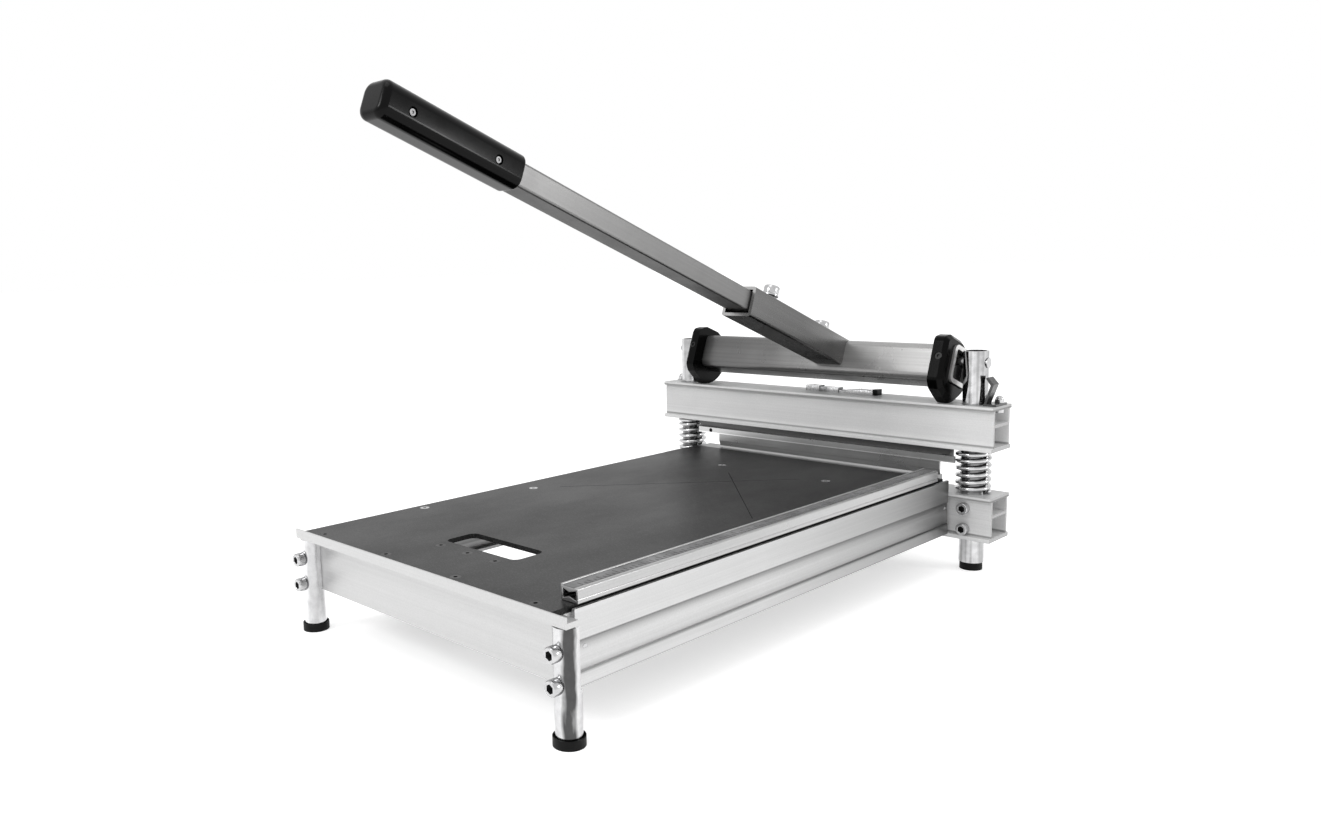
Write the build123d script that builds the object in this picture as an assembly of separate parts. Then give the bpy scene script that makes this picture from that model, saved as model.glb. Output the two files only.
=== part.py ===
from build123d import *
import math
import os

os.makedirs("parts", exist_ok=True)

# The two beams are cut from one extrusion with a middle shelf
beam_length = 457.2
beam_depth = 47.6
beam_height = 49.1
beam_flange = 4.5
beam_overhang = 4.2
beam_web = 3.0
beam_shelf = 3.0
beam_shelf_share = 0.54
beam_above_floor = 37.7
head_gap = 50.0

# Clearances and the overrun of cuts
seat_gap = 0.1
pin_gap = 0.05
slide_gap = 0.15
rest_gap = 0.3
overrun = 6.0

# Steel posts at the rear, which are also the rear legs
post_inset = 29.9
post_radius = 13.3
post_wall = 2.5
post_above_pivot = 12.9
post_bottom = 8.8
plug_radius = 12.0
plug_depth = 11.0
post_screw_heights_share = (0.235, 0.707)

# Cap screws of the frame
bolt_head_radius = 6.5
bolt_head_height = 8.0
bolt_radius = 4.0
socket_share = 0.5
socket_depth_share = 0.55

# Return springs round the posts, between the beams
spring_clearance = 1.5
spring_wire = 4.2
spring_turns = 6.5
spring_end_pitch = 4.9

# Guide bushes pressed into the upper beam
bush_wall = 1.5
bush_collar = 1.2
bush_collar_height = 2.0
shelf_hole_margin = 2.0

# Table board and its slot
board_left_inset = 60.0
board_right_gap = 1.8
board_front_gap = 0.2
board_thickness = 4.5
anvil_height = 16.7
slot_left = 38.0
slot_right = 60.0
slot_setback = 70.0
slot_length = 35.0
slot_corner = 7.0
slot_frame_width = 14.0
slot_frame_front = 26.0
slot_frame_setback = 3.0
slot_frame_depth = 10.0
scribe_width = 0.9
scribe_depth = 0.35
scribe_lines_shares = ((0.1346, 0.508, 0.6576, 0.1721), (0.4149, 0.2072, 0.8483, 0.4746))

# Screws of the board
board_screw_head = 4.8
board_screw_radius = 2.0
board_screw_length = 12.0
edge_screw_length = 9.0
front_screw_x_shares = (0.074, 0.3687, 0.6547, 0.9321)
front_screw_inset = 6.4
slot_screw_x_shares = (0.1061, 0.4969, 0.8776)
slot_screw_inset = 12.0
ledge_screw_inset = 8.1
ledge_screw_share = 0.7771
cleat_screw_inset = 12.8
cleat_screw_share = 0.5481
rear_cleat_screw_x_shares = (0.3196, 0.7356)
rear_cleat_screw_y = (93.0, 94.0)

# Cleats under the board
cleat_depth = 12.0
rear_cleat_width = 26.0
left_cleat_width = 22.0
left_cleat_length = 64.0

# Side rails
rail_inset = 46.3
rail_wall = 3.0
rail_rise = 3.5
rail_lip_height = 2.6
rail_ledge_width = 12.8
rail_ledge_thickness = 4.5
rail_foot_width = 9.0
rail_recess = 1.4
rail_flat_recess = 0.5
rail_groove = 1.0
rail_band_top_share = 0.62
rail_step_share = 0.44
rail_recess_bottom_share = 0.19

# Front rail
front_left_reach = 15.4
front_right_reach = 12.1
front_leg_margin = 3.8
front_nose = 12.6
front_web_margin = 5.8
front_corner_gap = 0.8
front_shelf = 17.5
front_wall = 3.0
front_edge = 600.0
front_ridge = 1.4
front_flange = 8.0

# Corner blocks that join the rails to the front rail and the lower beam
corner_width = 12.0
corner_length = 22.0
corner_rise = 8.8
corner_height = 27.0
corner_screw_head = 4.0
corner_screw_head_height = 3.0
corner_screw_radius = 2.5
corner_screw_bite = 2.2
corner_screw_low_share = 0.25
corner_screw_high_share = 0.75

# Front legs
leg_inset = 48.4
leg_radius = 10.6
leg_wall = 2.0
leg_stand = 3.5
leg_bottom = 3.0
leg_top_gap = 3.0
leg_screw_rises = (6.8, 31.8)
boot_wall = 2.1
boot_height = 7.6
boot_lip_gap = 1.0
boot_lip_depth = 2.0

# Anvil bar
anvil_post_gap = 20.4
anvil_lead = 4.0
anvil_rear = 20.0
anvil_screw_inset = 45.0
inner_screw_head = 5.0
inner_screw_head_height = 5.0
inner_screw_radius = 3.0
inner_screw_length = 15.0
inner_screw_y = 14.0

# Blade and its holder
blade_face = 5.0
blade_thickness = 3.0
blade_band_inset = 2.0
blade_band_drop = 8.2
blade_band_height = 7.3
blade_edge_left_inset = 32.0
blade_edge_right_inset = 1.5
clamp_bar_thickness = 2.5
clamp_bar_reach = 17.0
blade_edge_gap = 1.6
blade_bevel = 7.0
blade_edge_land = 0.4
holder_post_gap = 13.4
holder_right_reach = 6.0
holder_rear = 20.0
holder_screw_inset = 52.0
blade_screw_inset = 20.0
blade_screw_radius = 2.5
blade_screw_head = 4.5
blade_screw_head_height = 3.5
blade_screw_bite = 2.0

# Lever pivot, angles and the rise of the head per radian
cam_drop = 45.7
lever_rest_angle = 20.5
lever_down_angle = 8.0
lever_up_angle = 65.0
cam_lead = 10.0

# Cross tube of the lever
cross_post_gap = 4.4
cross_size = 43.0
cross_wall = 5.0
cross_corner = 8.0
cross_offset = 5.0

# End caps of the cross tube, which press on the upper beam
cap_inset = 2.5
cap_length = 15.5
cap_front = 33.5
cap_top = 25.0
cap_rear = 33.2
cap_edge = 4.5
cap_corner = 8.0
cap_front_low_share = 0.9
cap_front_high_share = 0.74
cap_top_front_share = 0.62
cap_top_rear_share = 0.15
cap_shoulder_u_share = 0.56
cap_shoulder_v_share = 0.76
cap_rear_v_share = 0.2
cap_keel_shares = ((-0.59, -0.832), (-0.285, -0.954))
cap_screw_v = 3.0
cap_screw_head = 4.0
cap_screw_head_height = 3.0
cap_screw_radius = 2.0
cap_screw_recess = 1.0

# Pivot bolts and their bearing blocks
pivot_bolt_radius = 5.0
pivot_head_radius = 5.8
pivot_head_height = 0.8
pivot_block_inset = 7.0
pivot_block_length = 22.0
pivot_bolt_reach = 18.0

# Sleeve welded to the cross tube
sleeve_x = 27.0
sleeve_wall = 3.5
sleeve_corner = 3.0
sleeve_side_gap = 1.5
sleeve_top_gap = 0.9
sleeve_low_gap = 3.1
sleeve_reach = 210.0
clamp_front_inset = 53.0
clamp_rear_inset = 29.5
clamp_head_radius = 8.6
clamp_head_height = 9.5
clamp_radius = 5.0
clamp_washer_radius = 9.0
clamp_washer = 1.6
clamp_lift = 6.5

# Telescoping handle tube and its grip
handle_width = 28.0
handle_height = 22.0
handle_corner = 2.5
handle_rise = 2.0
handle_wall = 2.0
handle_inner_gap = 18.5
handle_outer_end = 688.0
grip_end_wall = 10.0
grip_length = 147.0
grip_side_wall = 3.0
grip_height_margin = 9.5
grip_corner = 10.0
grip_rise = 3.7
grip_end_round = 6.0
grip_lip_round = 2.5
grip_screw_front_inset = 28.0
grip_screw_rear_inset = 29.0
grip_screw_rise = 2.5
grip_screw_head = 2.7
grip_recess_radius = 4.3
grip_screw_head_height = 1.6
grip_screw_radius = 2.0
grip_screw_recess = 0.7

# Angle fence
fence_inset = 15.0
fence_width = 18.0
fence_height = 12.5
fence_setback = 26.0
fence_rear = 22.0
fence_groove = 0.5
fence_groove_rise = 3.0
fence_wall = 2.0
fence_waist = 1.6
fence_top_depth = 0.8
fence_rim = 2.2
fence_chamfer = 1.6
scale_thickness = 0.5
fence_pivot_inset = 23.0
fence_pivot_radius = 3.0
fence_pivot_head = 5.0
fence_pivot_head_height = 3.0
fence_pivot_cap = 4.2
fence_pivot_cap_height = 2.0

# Lock hook, acorn nuts and the lock bar on the upper beam
acorn_inset = 6.6
acorn_y = 31.0
acorn_radius = 5.6
acorn_hex_height = 3.4
acorn_dome = 4.2
acorn_bolt_radius = 3.0
acorn_bolt_head = 5.0
acorn_bolt_head_height = 4.0
hook_thickness = 2.4
hook_post_gap = 1.6
hook_plate_right_reach = 5.6
hook_plate_front_reach = 21.0
hook_plate_rear_reach = 6.5
hook_strip_width = 12.5
hook_elbow_reach = 10.0
hook_elbow_rise = 24.0
hook_tip_reach = 3.4
hook_tip_rise = 31.5
washer_radius = 6.2
washer_thickness = 1.2
lock_left = 17.4
lock_block_length = 20.0
lock_body_length = 26.0
lock_lever_length = 45.4
lock_tip_length = 6.4
lock_front = 25.0
lock_width = 10.5
lock_height = 7.0
lock_lever_height = 4.5
lock_lever_width = 9.0
lock_screw_radius = 2.5
lock_screw_head = 4.0
lock_screw_recess = 3.0
lock_body_height_share = 0.85

# Places that follow from the sizes above
half_length = beam_length / 2
post_x = half_length - post_inset
post_y = beam_depth / 2
leg_x = half_length - leg_inset
spring_radius = post_radius + spring_wire / 2 + spring_clearance
web_front = beam_overhang
web_rear = beam_depth - beam_overhang
lower_bottom = beam_above_floor
lower_top = lower_bottom + beam_height
upper_bottom = lower_top + head_gap
upper_top = upper_bottom + beam_height
board_top = lower_top + anvil_height
board_bottom = board_top - board_thickness
rail_bottom = lower_bottom + rail_rise
rail_outer = half_length - rail_inset
ledge_bottom = board_bottom - rail_ledge_thickness
front_web_face = front_edge - front_shelf
front_web_rear = front_web_face - front_wall
rail_front = front_web_rear - seat_gap
rail_inner = rail_outer - rail_wall
board_left = half_length - board_left_inset
board_right = rail_inner - board_right_gap
board_width = board_left + board_right
board_front = front_edge - front_ridge - board_front_gap
left_rail_outer = board_left
left_ledge_edge = left_rail_outer - rail_wall - rail_ledge_width
front_left = max(board_left + front_left_reach, leg_x + front_leg_margin)
front_right = max(rail_outer + front_right_reach, leg_x + front_leg_margin)
leg_y = front_web_face + leg_stand
leg_screw_heights = [rail_bottom + rise for rise in leg_screw_rises]
boot_radius = leg_radius + boot_wall
corner_bottom = rail_bottom + corner_rise
slot_front = front_edge - slot_setback
slot_rear = slot_front - slot_length
board_rear = anvil_lead + rest_gap
pivot_y = post_y
pivot_height = upper_top + cam_drop
post_top = pivot_height + post_above_pivot
post_inner = post_x - post_radius
anvil_top = board_top
anvil_half = post_inner - anvil_post_gap
holder_half = post_inner - holder_post_gap
blade_band_half = holder_half - blade_band_inset
blade_edge_left = blade_band_half - blade_edge_left_inset
blade_edge_right = blade_band_half - blade_edge_right_inset
anvil_screw_x = (-anvil_half + anvil_screw_inset, 0, anvil_half - anvil_screw_inset)
holder_screw_x = (-holder_half + holder_screw_inset, 0, holder_half - holder_screw_inset)
blade_screw_end = blade_band_half - blade_screw_inset
blade_screw_x = (-blade_screw_end, -blade_screw_end / 3, blade_screw_end / 3, blade_screw_end)
blade_band_top = upper_bottom - blade_band_drop
blade_band_bottom = blade_band_top - blade_band_height
blade_edge = anvil_top + blade_edge_gap
blade_rear = blade_face + blade_thickness
bush_radius = post_radius + slide_gap + bush_wall
cross_half = post_inner - cross_post_gap
cap_outer = cross_half - cap_inset
cap_inner = cap_outer - cap_length
pivot_block_outer = cross_half - pivot_block_inset
cross_front = cross_offset - cross_size / 2
cross_rear = cross_offset + cross_size / 2
cross_low = -cross_offset - cross_size / 2
cross_high = -cross_offset + cross_size / 2
handle_low = handle_rise - handle_height / 2
handle_high = handle_rise + handle_height / 2
sleeve_low = handle_low - sleeve_low_gap - sleeve_wall
sleeve_top = handle_high + sleeve_top_gap + sleeve_wall
sleeve_half = handle_width / 2 + sleeve_side_gap + sleeve_wall
handle_inner_end = handle_inner_gap - cross_front
clamp_u = (clamp_front_inset - sleeve_reach, cross_front - clamp_rear_inset)
grip_end = handle_outer_end + grip_end_wall
grip_width = handle_width + grip_side_wall + grip_side_wall
grip_height = handle_height + grip_height_margin
grip_start = grip_end - grip_length
grip_screw_u = (grip_screw_front_inset - grip_end, -grip_start - grip_screw_rear_inset)
fence_left = board_right - fence_inset
fence_front = front_edge - fence_setback
fence_pivot_y = fence_rear + fence_pivot_inset
acorn_x = half_length - acorn_inset
hook_plate_left = post_x + post_radius + hook_post_gap
hook_plate_right = acorn_x + hook_plate_right_reach
hook_plate_front = acorn_y - hook_plate_front_reach
hook_plate_rear = acorn_y + hook_plate_rear_reach
hook_elbow_x = hook_plate_left + hook_elbow_reach
hook_tip_x = hook_plate_left + hook_tip_reach


def block(x0, x1, y0, y1, z0, z1):
    box = Box(x1 - x0, y1 - y0, z1 - z0, align=(Align.MIN, Align.MIN, Align.MIN))
    return Pos(x0, y0, z0) * box


def rod_z(radius, x, y, z0, z1):
    return Pos(x, y, z0) * Cylinder(radius, z1 - z0, align=(Align.CENTER, Align.CENTER, Align.MIN))


def rod_y(radius, x, z, y0, y1):
    return Pos(x, y0, z) * Rot(-90, 0, 0) * rod_z(radius, 0, 0, 0, y1 - y0)


def rod_x(radius, y, z, x0, x1):
    return Pos(x0, y, z) * Rot(0, 90, 0) * rod_z(radius, 0, 0, 0, x1 - x0)


# A screw stands along Z, its head's seat at 0 and its shank below
def cap_screw(head_radius, head_height, radius, length, socket=True):
    body = rod_z(head_radius, 0, 0, 0, head_height) + rod_z(radius, 0, 0, -length, 0)
    if socket:
        depth = head_height * socket_depth_share
        hexagon = extrude(RegularPolygon(head_radius * socket_share, 6), depth + overrun)
        body = body - Pos(0, 0, head_height - depth) * hexagon
    return body


# A flat-head screw stands along Z, its top at 0
def flat_screw(head_radius, radius, length, gap, socket=True):
    depth = head_radius - radius
    cone = Cone(radius + gap, head_radius + gap, depth, align=(Align.CENTER, Align.CENTER, Align.MAX))
    body = cone + rod_z(radius + gap, 0, 0, -length, -depth / 2)
    if socket:
        hexagon = extrude(RegularPolygon(radius * socket_share * 2, 6), overrun)
        body = body - Pos(0, 0, -depth * socket_depth_share) * hexagon
    else:
        body = body + rod_z(head_radius + gap, 0, 0, 0, overrun)
    return body


def mirrored(shape):
    return mirror(shape, about=Plane.YZ)


def joined(shapes):
    total = shapes[0]
    for shape in shapes[1:]:
        total = total + shape
    return total


def pair(shape):
    return joined([shape, mirrored(shape)])


def beam(bottom):
    shelf = bottom + beam_height * beam_shelf_share
    top = bottom + beam_height
    body = block(-half_length, half_length, 0, beam_depth, bottom, bottom + beam_flange)
    body = body + block(-half_length, half_length, 0, beam_depth, top - beam_flange, top)
    body = body + block(-half_length, half_length, web_front, web_front + beam_web, bottom, top)
    body = body + block(-half_length, half_length, web_rear - beam_web, web_rear, bottom, top)
    return body + block(-half_length, half_length, web_front, web_rear, shelf, shelf + beam_shelf)


nodes = {}

# Posts, plugs and the screws that hold the posts in the lower beam
post = rod_z(post_radius, post_x, post_y, post_bottom, post_top)
post = post - rod_z(post_radius - post_wall, post_x, post_y, post_bottom - overrun, post_top + overrun)
post_screw_heights = [lower_bottom + beam_height * share for share in post_screw_heights_share]
post_screw_end = post_y - post_radius + post_wall + seat_gap
screw_list = []
for height in post_screw_heights:
    post = post - rod_y(bolt_radius + seat_gap, post_x, height, -overrun, post_y)
    screw = cap_screw(bolt_head_radius, bolt_head_height, bolt_radius, post_screw_end - web_front)
    screw_list.append(Pos(post_x, web_front, height) * Rot(90, 0, 0) * screw)
bolt_hole = rod_x(pivot_bolt_radius + seat_gap, pivot_y, pivot_height, 0, post_x + post_radius + overrun)
post = post - bolt_hole
nodes["post_right"] = post
nodes["post_left"] = mirrored(post)
nodes["post_screws"] = pair(joined(screw_list))
plug = rod_z(plug_radius, post_x, post_y, 0, post_bottom)
plug = plug + rod_z(post_radius - post_wall - seat_gap, post_x, post_y, 0, post_bottom + plug_depth)
nodes["post_plugs"] = pair(plug)

# Lower beam
lower = beam(lower_bottom)
for side in (-1, 1):
    lower = lower - rod_z(
        post_radius + seat_gap, side * post_x, post_y, lower_bottom - overrun, lower_top + overrun
    )
    for height in post_screw_heights:
        lower = lower - rod_y(bolt_radius + seat_gap, side * post_x, height, -overrun, post_y)

# Anvil bar on the lower beam, with its screws from inside the beam
anvil = block(-anvil_half, anvil_half, -anvil_lead, anvil_rear, lower_top, anvil_top)
anvil_screws = []
for x in anvil_screw_x:
    seat = lower_top - beam_flange
    hole = rod_z(inner_screw_radius + seat_gap, x, inner_screw_y, seat - overrun, seat + inner_screw_length)
    lower = lower - hole
    anvil = anvil - hole
    screw = cap_screw(
        inner_screw_head, inner_screw_head_height, inner_screw_radius, inner_screw_length - seat_gap
    )
    anvil_screws.append(Pos(x, inner_screw_y, seat) * Rot(180, 0, 0) * screw)
nodes["anvil_bar"] = anvil
nodes["anvil_screws"] = joined(anvil_screws)

# Upper beam with its guide bushes
upper = beam(upper_bottom)
bushes = []
for side in (-1, 1):
    place = side * post_x
    upper = upper - rod_z(
        bush_radius + seat_gap, place, post_y, upper_bottom - overrun, upper_bottom + beam_flange
    )
    upper = upper - rod_z(
        bush_radius + seat_gap, place, post_y, upper_top - beam_flange, upper_top + overrun
    )
    shelf_hole = post_radius + shelf_hole_margin
    upper = upper - rod_z(shelf_hole, place, post_y, upper_bottom + beam_flange, upper_top - beam_flange)
    low = rod_z(bush_radius, place, post_y, upper_bottom, upper_bottom + beam_flange + bush_collar_height)
    collar = upper_bottom + beam_flange
    low = low + rod_z(bush_radius + bush_collar, place, post_y, collar, collar + bush_collar_height)
    collar = upper_top - beam_flange
    high = rod_z(bush_radius, place, post_y, collar - bush_collar_height, upper_top)
    high = high + rod_z(bush_radius + bush_collar, place, post_y, collar - bush_collar_height, collar)
    for bush in (low, high):
        bore = rod_z(post_radius + slide_gap, place, post_y, upper_bottom - overrun, upper_top + overrun)
        bushes.append(bush - bore)
nodes["guide_bushes"] = joined(bushes)

# Blade holder under the upper beam, blade on its front, and their screws
holder = block(
    -holder_half, holder_half + holder_right_reach, blade_rear, holder_rear, blade_band_bottom, upper_bottom
)
blade = block(-blade_band_half, blade_band_half, blade_face, blade_rear, blade_band_bottom, blade_band_top)
blade = blade + block(
    -blade_edge_left, blade_edge_right, blade_face, blade_rear, blade_edge, blade_band_bottom
)
bevel = Polygon(
    (blade_face - overrun, blade_edge),
    (blade_rear - blade_edge_land, blade_edge),
    (blade_face, blade_edge + blade_bevel),
    (blade_face - overrun, blade_edge + blade_bevel),
    align=None,
)
blade = blade - Pos(-half_length, 0, 0) * extrude(Plane.YZ * bevel, beam_length)
clamp_bar = block(
    -blade_band_half, blade_band_half + clamp_bar_reach, blade_face - clamp_bar_thickness, blade_face,
    blade_band_bottom, blade_band_top,
)
holder_screws = []
for x in holder_screw_x:
    seat = upper_bottom + beam_flange
    hole = rod_z(inner_screw_radius + seat_gap, x, inner_screw_y, seat - inner_screw_length, seat + overrun)
    upper = upper - hole
    holder = holder - hole
    screw = cap_screw(
        inner_screw_head, inner_screw_head_height, inner_screw_radius, inner_screw_length - seat_gap
    )
    holder_screws.append(Pos(x, inner_screw_y, seat) * screw)
blade_screw_z = (blade_band_top + blade_band_bottom) / 2
blade_screws = []
for x in blade_screw_x:
    bite = blade_rear - blade_screw_bite
    hole = rod_y(blade_screw_radius + seat_gap, x, blade_screw_z, bite, holder_rear + overrun)
    if x == min(blade_screw_x):
        hole = rod_y(
            blade_screw_radius + seat_gap, x, blade_screw_z, blade_face - overrun, holder_rear + overrun
        )
        clamp_bar = clamp_bar - hole
    blade = blade - hole
    holder = holder - hole
    length = holder_rear - bite - seat_gap
    screw = cap_screw(blade_screw_head, blade_screw_head_height, blade_screw_radius, length)
    blade_screws.append(Pos(x, holder_rear, blade_screw_z) * Rot(-90, 0, 0) * screw)
nodes["blade_holder"] = holder
nodes["blade"] = blade
nodes["blade_clamp"] = clamp_bar
nodes["holder_screws"] = joined(holder_screws)
nodes["blade_screws"] = joined(blade_screws)

# Acorn nuts and their bolts, hook on the right, washer on the left
bolts = []
nuts = []
for side in (-1, 1):
    hole = rod_z(
        acorn_bolt_radius + seat_gap, side * acorn_x, acorn_y, upper_top - beam_flange, upper_top + overrun
    )
    upper = upper - hole
    under = hook_thickness if side > 0 else washer_thickness
    seat = upper_top + under
    length = beam_flange + under + acorn_hex_height
    bolt = cap_screw(acorn_bolt_head, acorn_bolt_head_height, acorn_bolt_radius, length, socket=False)
    bolts.append(Pos(side * acorn_x, acorn_y, upper_top - beam_flange) * Rot(180, 0, 0) * bolt)
    nut = extrude(RegularPolygon(acorn_radius, 6), acorn_hex_height)
    dome = Pos(0, 0, acorn_hex_height) * Sphere(acorn_dome)
    dome = dome & rod_z(acorn_radius, 0, 0, acorn_hex_height, acorn_hex_height + acorn_dome)
    nut = nut + dome - rod_z(acorn_bolt_radius + seat_gap, 0, 0, -overrun, acorn_hex_height + seat_gap)
    nuts.append(Pos(side * acorn_x, acorn_y, seat) * nut)
nodes["acorn_bolts"] = joined(bolts)
nodes["acorn_nuts"] = joined(nuts)
washer = rod_z(washer_radius, -acorn_x, acorn_y, upper_top, upper_top + washer_thickness)
bolt_bore = rod_z(acorn_bolt_radius + seat_gap, -acorn_x, acorn_y, upper_top - overrun, upper_top + overrun)
nodes["acorn_washer"] = washer - bolt_bore
hook = block(
    hook_plate_left, hook_plate_right, hook_plate_front, hook_plate_rear, upper_top,
    upper_top + hook_thickness,
)
hook = hook - rod_z(acorn_bolt_radius + seat_gap, acorn_x, acorn_y, upper_top - overrun, upper_top + overrun)
strip = Polygon(
    (hook_plate_left, upper_top),
    (hook_plate_left + hook_thickness, upper_top),
    (hook_elbow_x + hook_thickness / 2, upper_top + hook_elbow_rise),
    (hook_tip_x + hook_thickness / 2, upper_top + hook_tip_rise),
    (hook_tip_x - hook_thickness / 2, upper_top + hook_tip_rise - hook_thickness / 2),
    (hook_elbow_x - hook_thickness, upper_top + hook_elbow_rise - hook_thickness / 2),
    align=None,
)
strip_rear = hook_plate_front + hook_strip_width
hook = hook + Pos(0, strip_rear, 0) * extrude(Plane.XZ * strip, hook_strip_width)
nodes["lock_hook"] = hook

# Lock bar on the upper beam
lock_middle = lock_front + lock_width / 2
lock_block_right = -lock_left + lock_block_length
lock_body_right = lock_block_right + lock_body_length
lock_lever_right = lock_body_right + lock_lever_length - seat_gap
lock_top = upper_top + lock_height
lock_rear = lock_front + lock_width
lock_base = block(-lock_left, lock_block_right, lock_front, lock_rear, upper_top, lock_top)
body_top = upper_top + lock_height * lock_body_height_share
lock_base = lock_base + block(lock_block_right, lock_body_right, lock_front, lock_rear, upper_top, body_top)
lock_screw_x = -lock_left + lock_block_length / 2
lock_seat = lock_top - lock_screw_recess
lock_base = lock_base - rod_z(
    lock_screw_head + seat_gap, lock_screw_x, lock_middle, lock_seat, lock_top + overrun
)
lock_hole = rod_z(lock_screw_radius + seat_gap, lock_screw_x, lock_middle, upper_top - beam_flange, lock_top)
lock_base = lock_base - lock_hole
upper = upper - lock_hole
lever_low = lock_middle - lock_lever_width / 2
lever_high = lock_middle + lock_lever_width / 2
lever_top = upper_top + lock_lever_height
lock_lever = block(lock_body_right, lock_lever_right, lever_low, lever_high, upper_top, lever_top)
lock_tip_left = lock_lever_right + seat_gap
lock_tip = block(lock_tip_left, lock_tip_left + lock_tip_length, lock_front, lock_rear, upper_top, lock_top)
lock_screw = cap_screw(
    lock_screw_head, lock_screw_recess - seat_gap, lock_screw_radius, lock_seat - upper_top + beam_flange
)
nodes["lock_base"] = lock_base
nodes["lock_lever"] = lock_lever
nodes["lock_tip"] = lock_tip
nodes["lock_screw"] = Pos(lock_screw_x, lock_middle, lock_seat) * lock_screw
nodes["upper_beam"] = upper


# Return springs: a helix of quarter turns, each drawn as two equal-legged arcs
def spring_nodes(low, high):
    quarters = int(round(spring_turns * 4))
    steps = []
    middle = high - low - 2 * spring_end_pitch
    for quarter in range(quarters):
        dead = quarter < 4 or quarter >= quarters - 4
        steps.append(spring_end_pitch / 4 if dead else middle / (quarters - 8))
    height = low
    points = []
    for quarter in range(quarters + 1):
        angle = quarter * math.pi / 2
        slope = 0
        if 0 < quarter < quarters:
            slope = (steps[quarter - 1] + steps[quarter]) / math.pi
        point = Vector(spring_radius * math.cos(angle), spring_radius * math.sin(angle), height)
        around = Vector(-spring_radius * math.sin(angle), spring_radius * math.cos(angle), slope)
        tangent = around.normalized()
        points.append((point, tangent))
        if quarter < quarters:
            height = height + steps[quarter]
    return points


def arc_middle(start, tangent, leg, end):
    centre = (start + end) * 0.5
    corner = start + tangent * leg
    half = (end - start).length / 2
    rise = (corner - centre).length
    return centre + (corner - centre) * (half * math.tan(math.atan2(rise, half) / 2) / rise)


def spring_path(points):
    first, first_tangent = points[0]
    last, last_tangent = points[-1]
    edges = [Line(first - first_tangent * spring_wire, first)]
    for (start, t0), (end, t1) in zip(points, points[1:]):
        chord = end - start
        total = t0 + t1
        spread = 2 * (1 - t0.dot(t1))
        along = chord.dot(total)
        leg = (math.sqrt(along * along + spread * chord.dot(chord)) - along) / spread
        joint = (start + t0 * leg + end - t1 * leg) * 0.5
        edges.append(ThreePointArc(start, arc_middle(start, t0, leg, joint), joint))
        back = arc_middle(end, t1 * -1, leg, joint)
        edges.append(ThreePointArc(joint, back, end))
    edges.append(Line(last, last + last_tangent * spring_wire))
    return edges


def least_gap(edges):
    samples = []
    travelled = 0
    for edge in edges:
        for step in range(6):
            samples.append((travelled + edge.length * step / 6, edge.position_at(step / 6)))
        travelled = travelled + edge.length
    apart = spring_radius * math.pi
    gaps = []
    for at, point in samples:
        for other_at, other in samples:
            if other_at - at > apart:
                gaps.append((other - point).length)
    return min(gaps) - spring_wire


spring_low = lower_top + spring_wire / 2 + seat_gap
spring_high = upper_bottom - spring_wire / 2 - seat_gap
spring_edges = spring_path(spring_nodes(spring_low, spring_high))
spring_start = spring_edges[0] @ 0
spring_section = Plane(origin=spring_start, z_dir=spring_edges[0] % 0) * Circle(spring_wire / 2)
spring = sweep(sections=spring_section, path=Wire(spring_edges))
wire_length = sum(edge.length for edge in spring_edges)
wire_volume = wire_length * math.pi * spring_wire * spring_wire / 4
print("spring: least gap to itself", round(least_gap(spring_edges), 2))
print("spring: volume over section times length", round(spring.volume / wire_volume, 4))
nodes["spring_right"] = Pos(post_x, post_y, 0) * spring
nodes["spring_left"] = Pos(-post_x, post_y, 0) * Rot(0, 0, 180) * spring


# Side rails: a stepped outer face, a ledge for the board and a foot flange
def rail(outer, top):
    inner = outer - rail_wall
    height = board_bottom - rail_bottom
    recess = outer - rail_recess
    band = rail_bottom + height * rail_band_top_share
    step = rail_bottom + height * rail_step_share
    low = rail_bottom + height * rail_recess_bottom_share
    flat = outer - rail_flat_recess
    outline = Polygon(
        (inner - rail_foot_width, rail_bottom),
        (outer, rail_bottom),
        (outer, low),
        (recess, low + rail_groove),
        (flat, low + rail_groove + rail_groove),
        (flat, step),
        (recess, band - rail_groove),
        (outer, band),
        (outer, top),
        (inner, top),
        (inner, board_bottom),
        (inner - rail_ledge_width, board_bottom),
        (inner - rail_ledge_width, ledge_bottom),
        (inner, ledge_bottom),
        (inner, rail_bottom + rail_wall),
        (inner - rail_foot_width, rail_bottom + rail_wall),
        align=None,
    )
    return Pos(0, -seat_gap, 0) * extrude(Plane.XZ * outline, rail_front - seat_gap)


rail_right = rail(rail_outer, board_bottom + rail_lip_height)
rail_left = mirrored(rail(left_rail_outer, board_bottom))
anvil_room = block(
    -anvil_half - seat_gap, anvil_half + seat_gap, -anvil_lead - rest_gap, anvil_rear,
    ledge_bottom - overrun, anvil_top + overrun,
)
rail_left = rail_left - anvil_room
rail_right = rail_right - anvil_room

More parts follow.
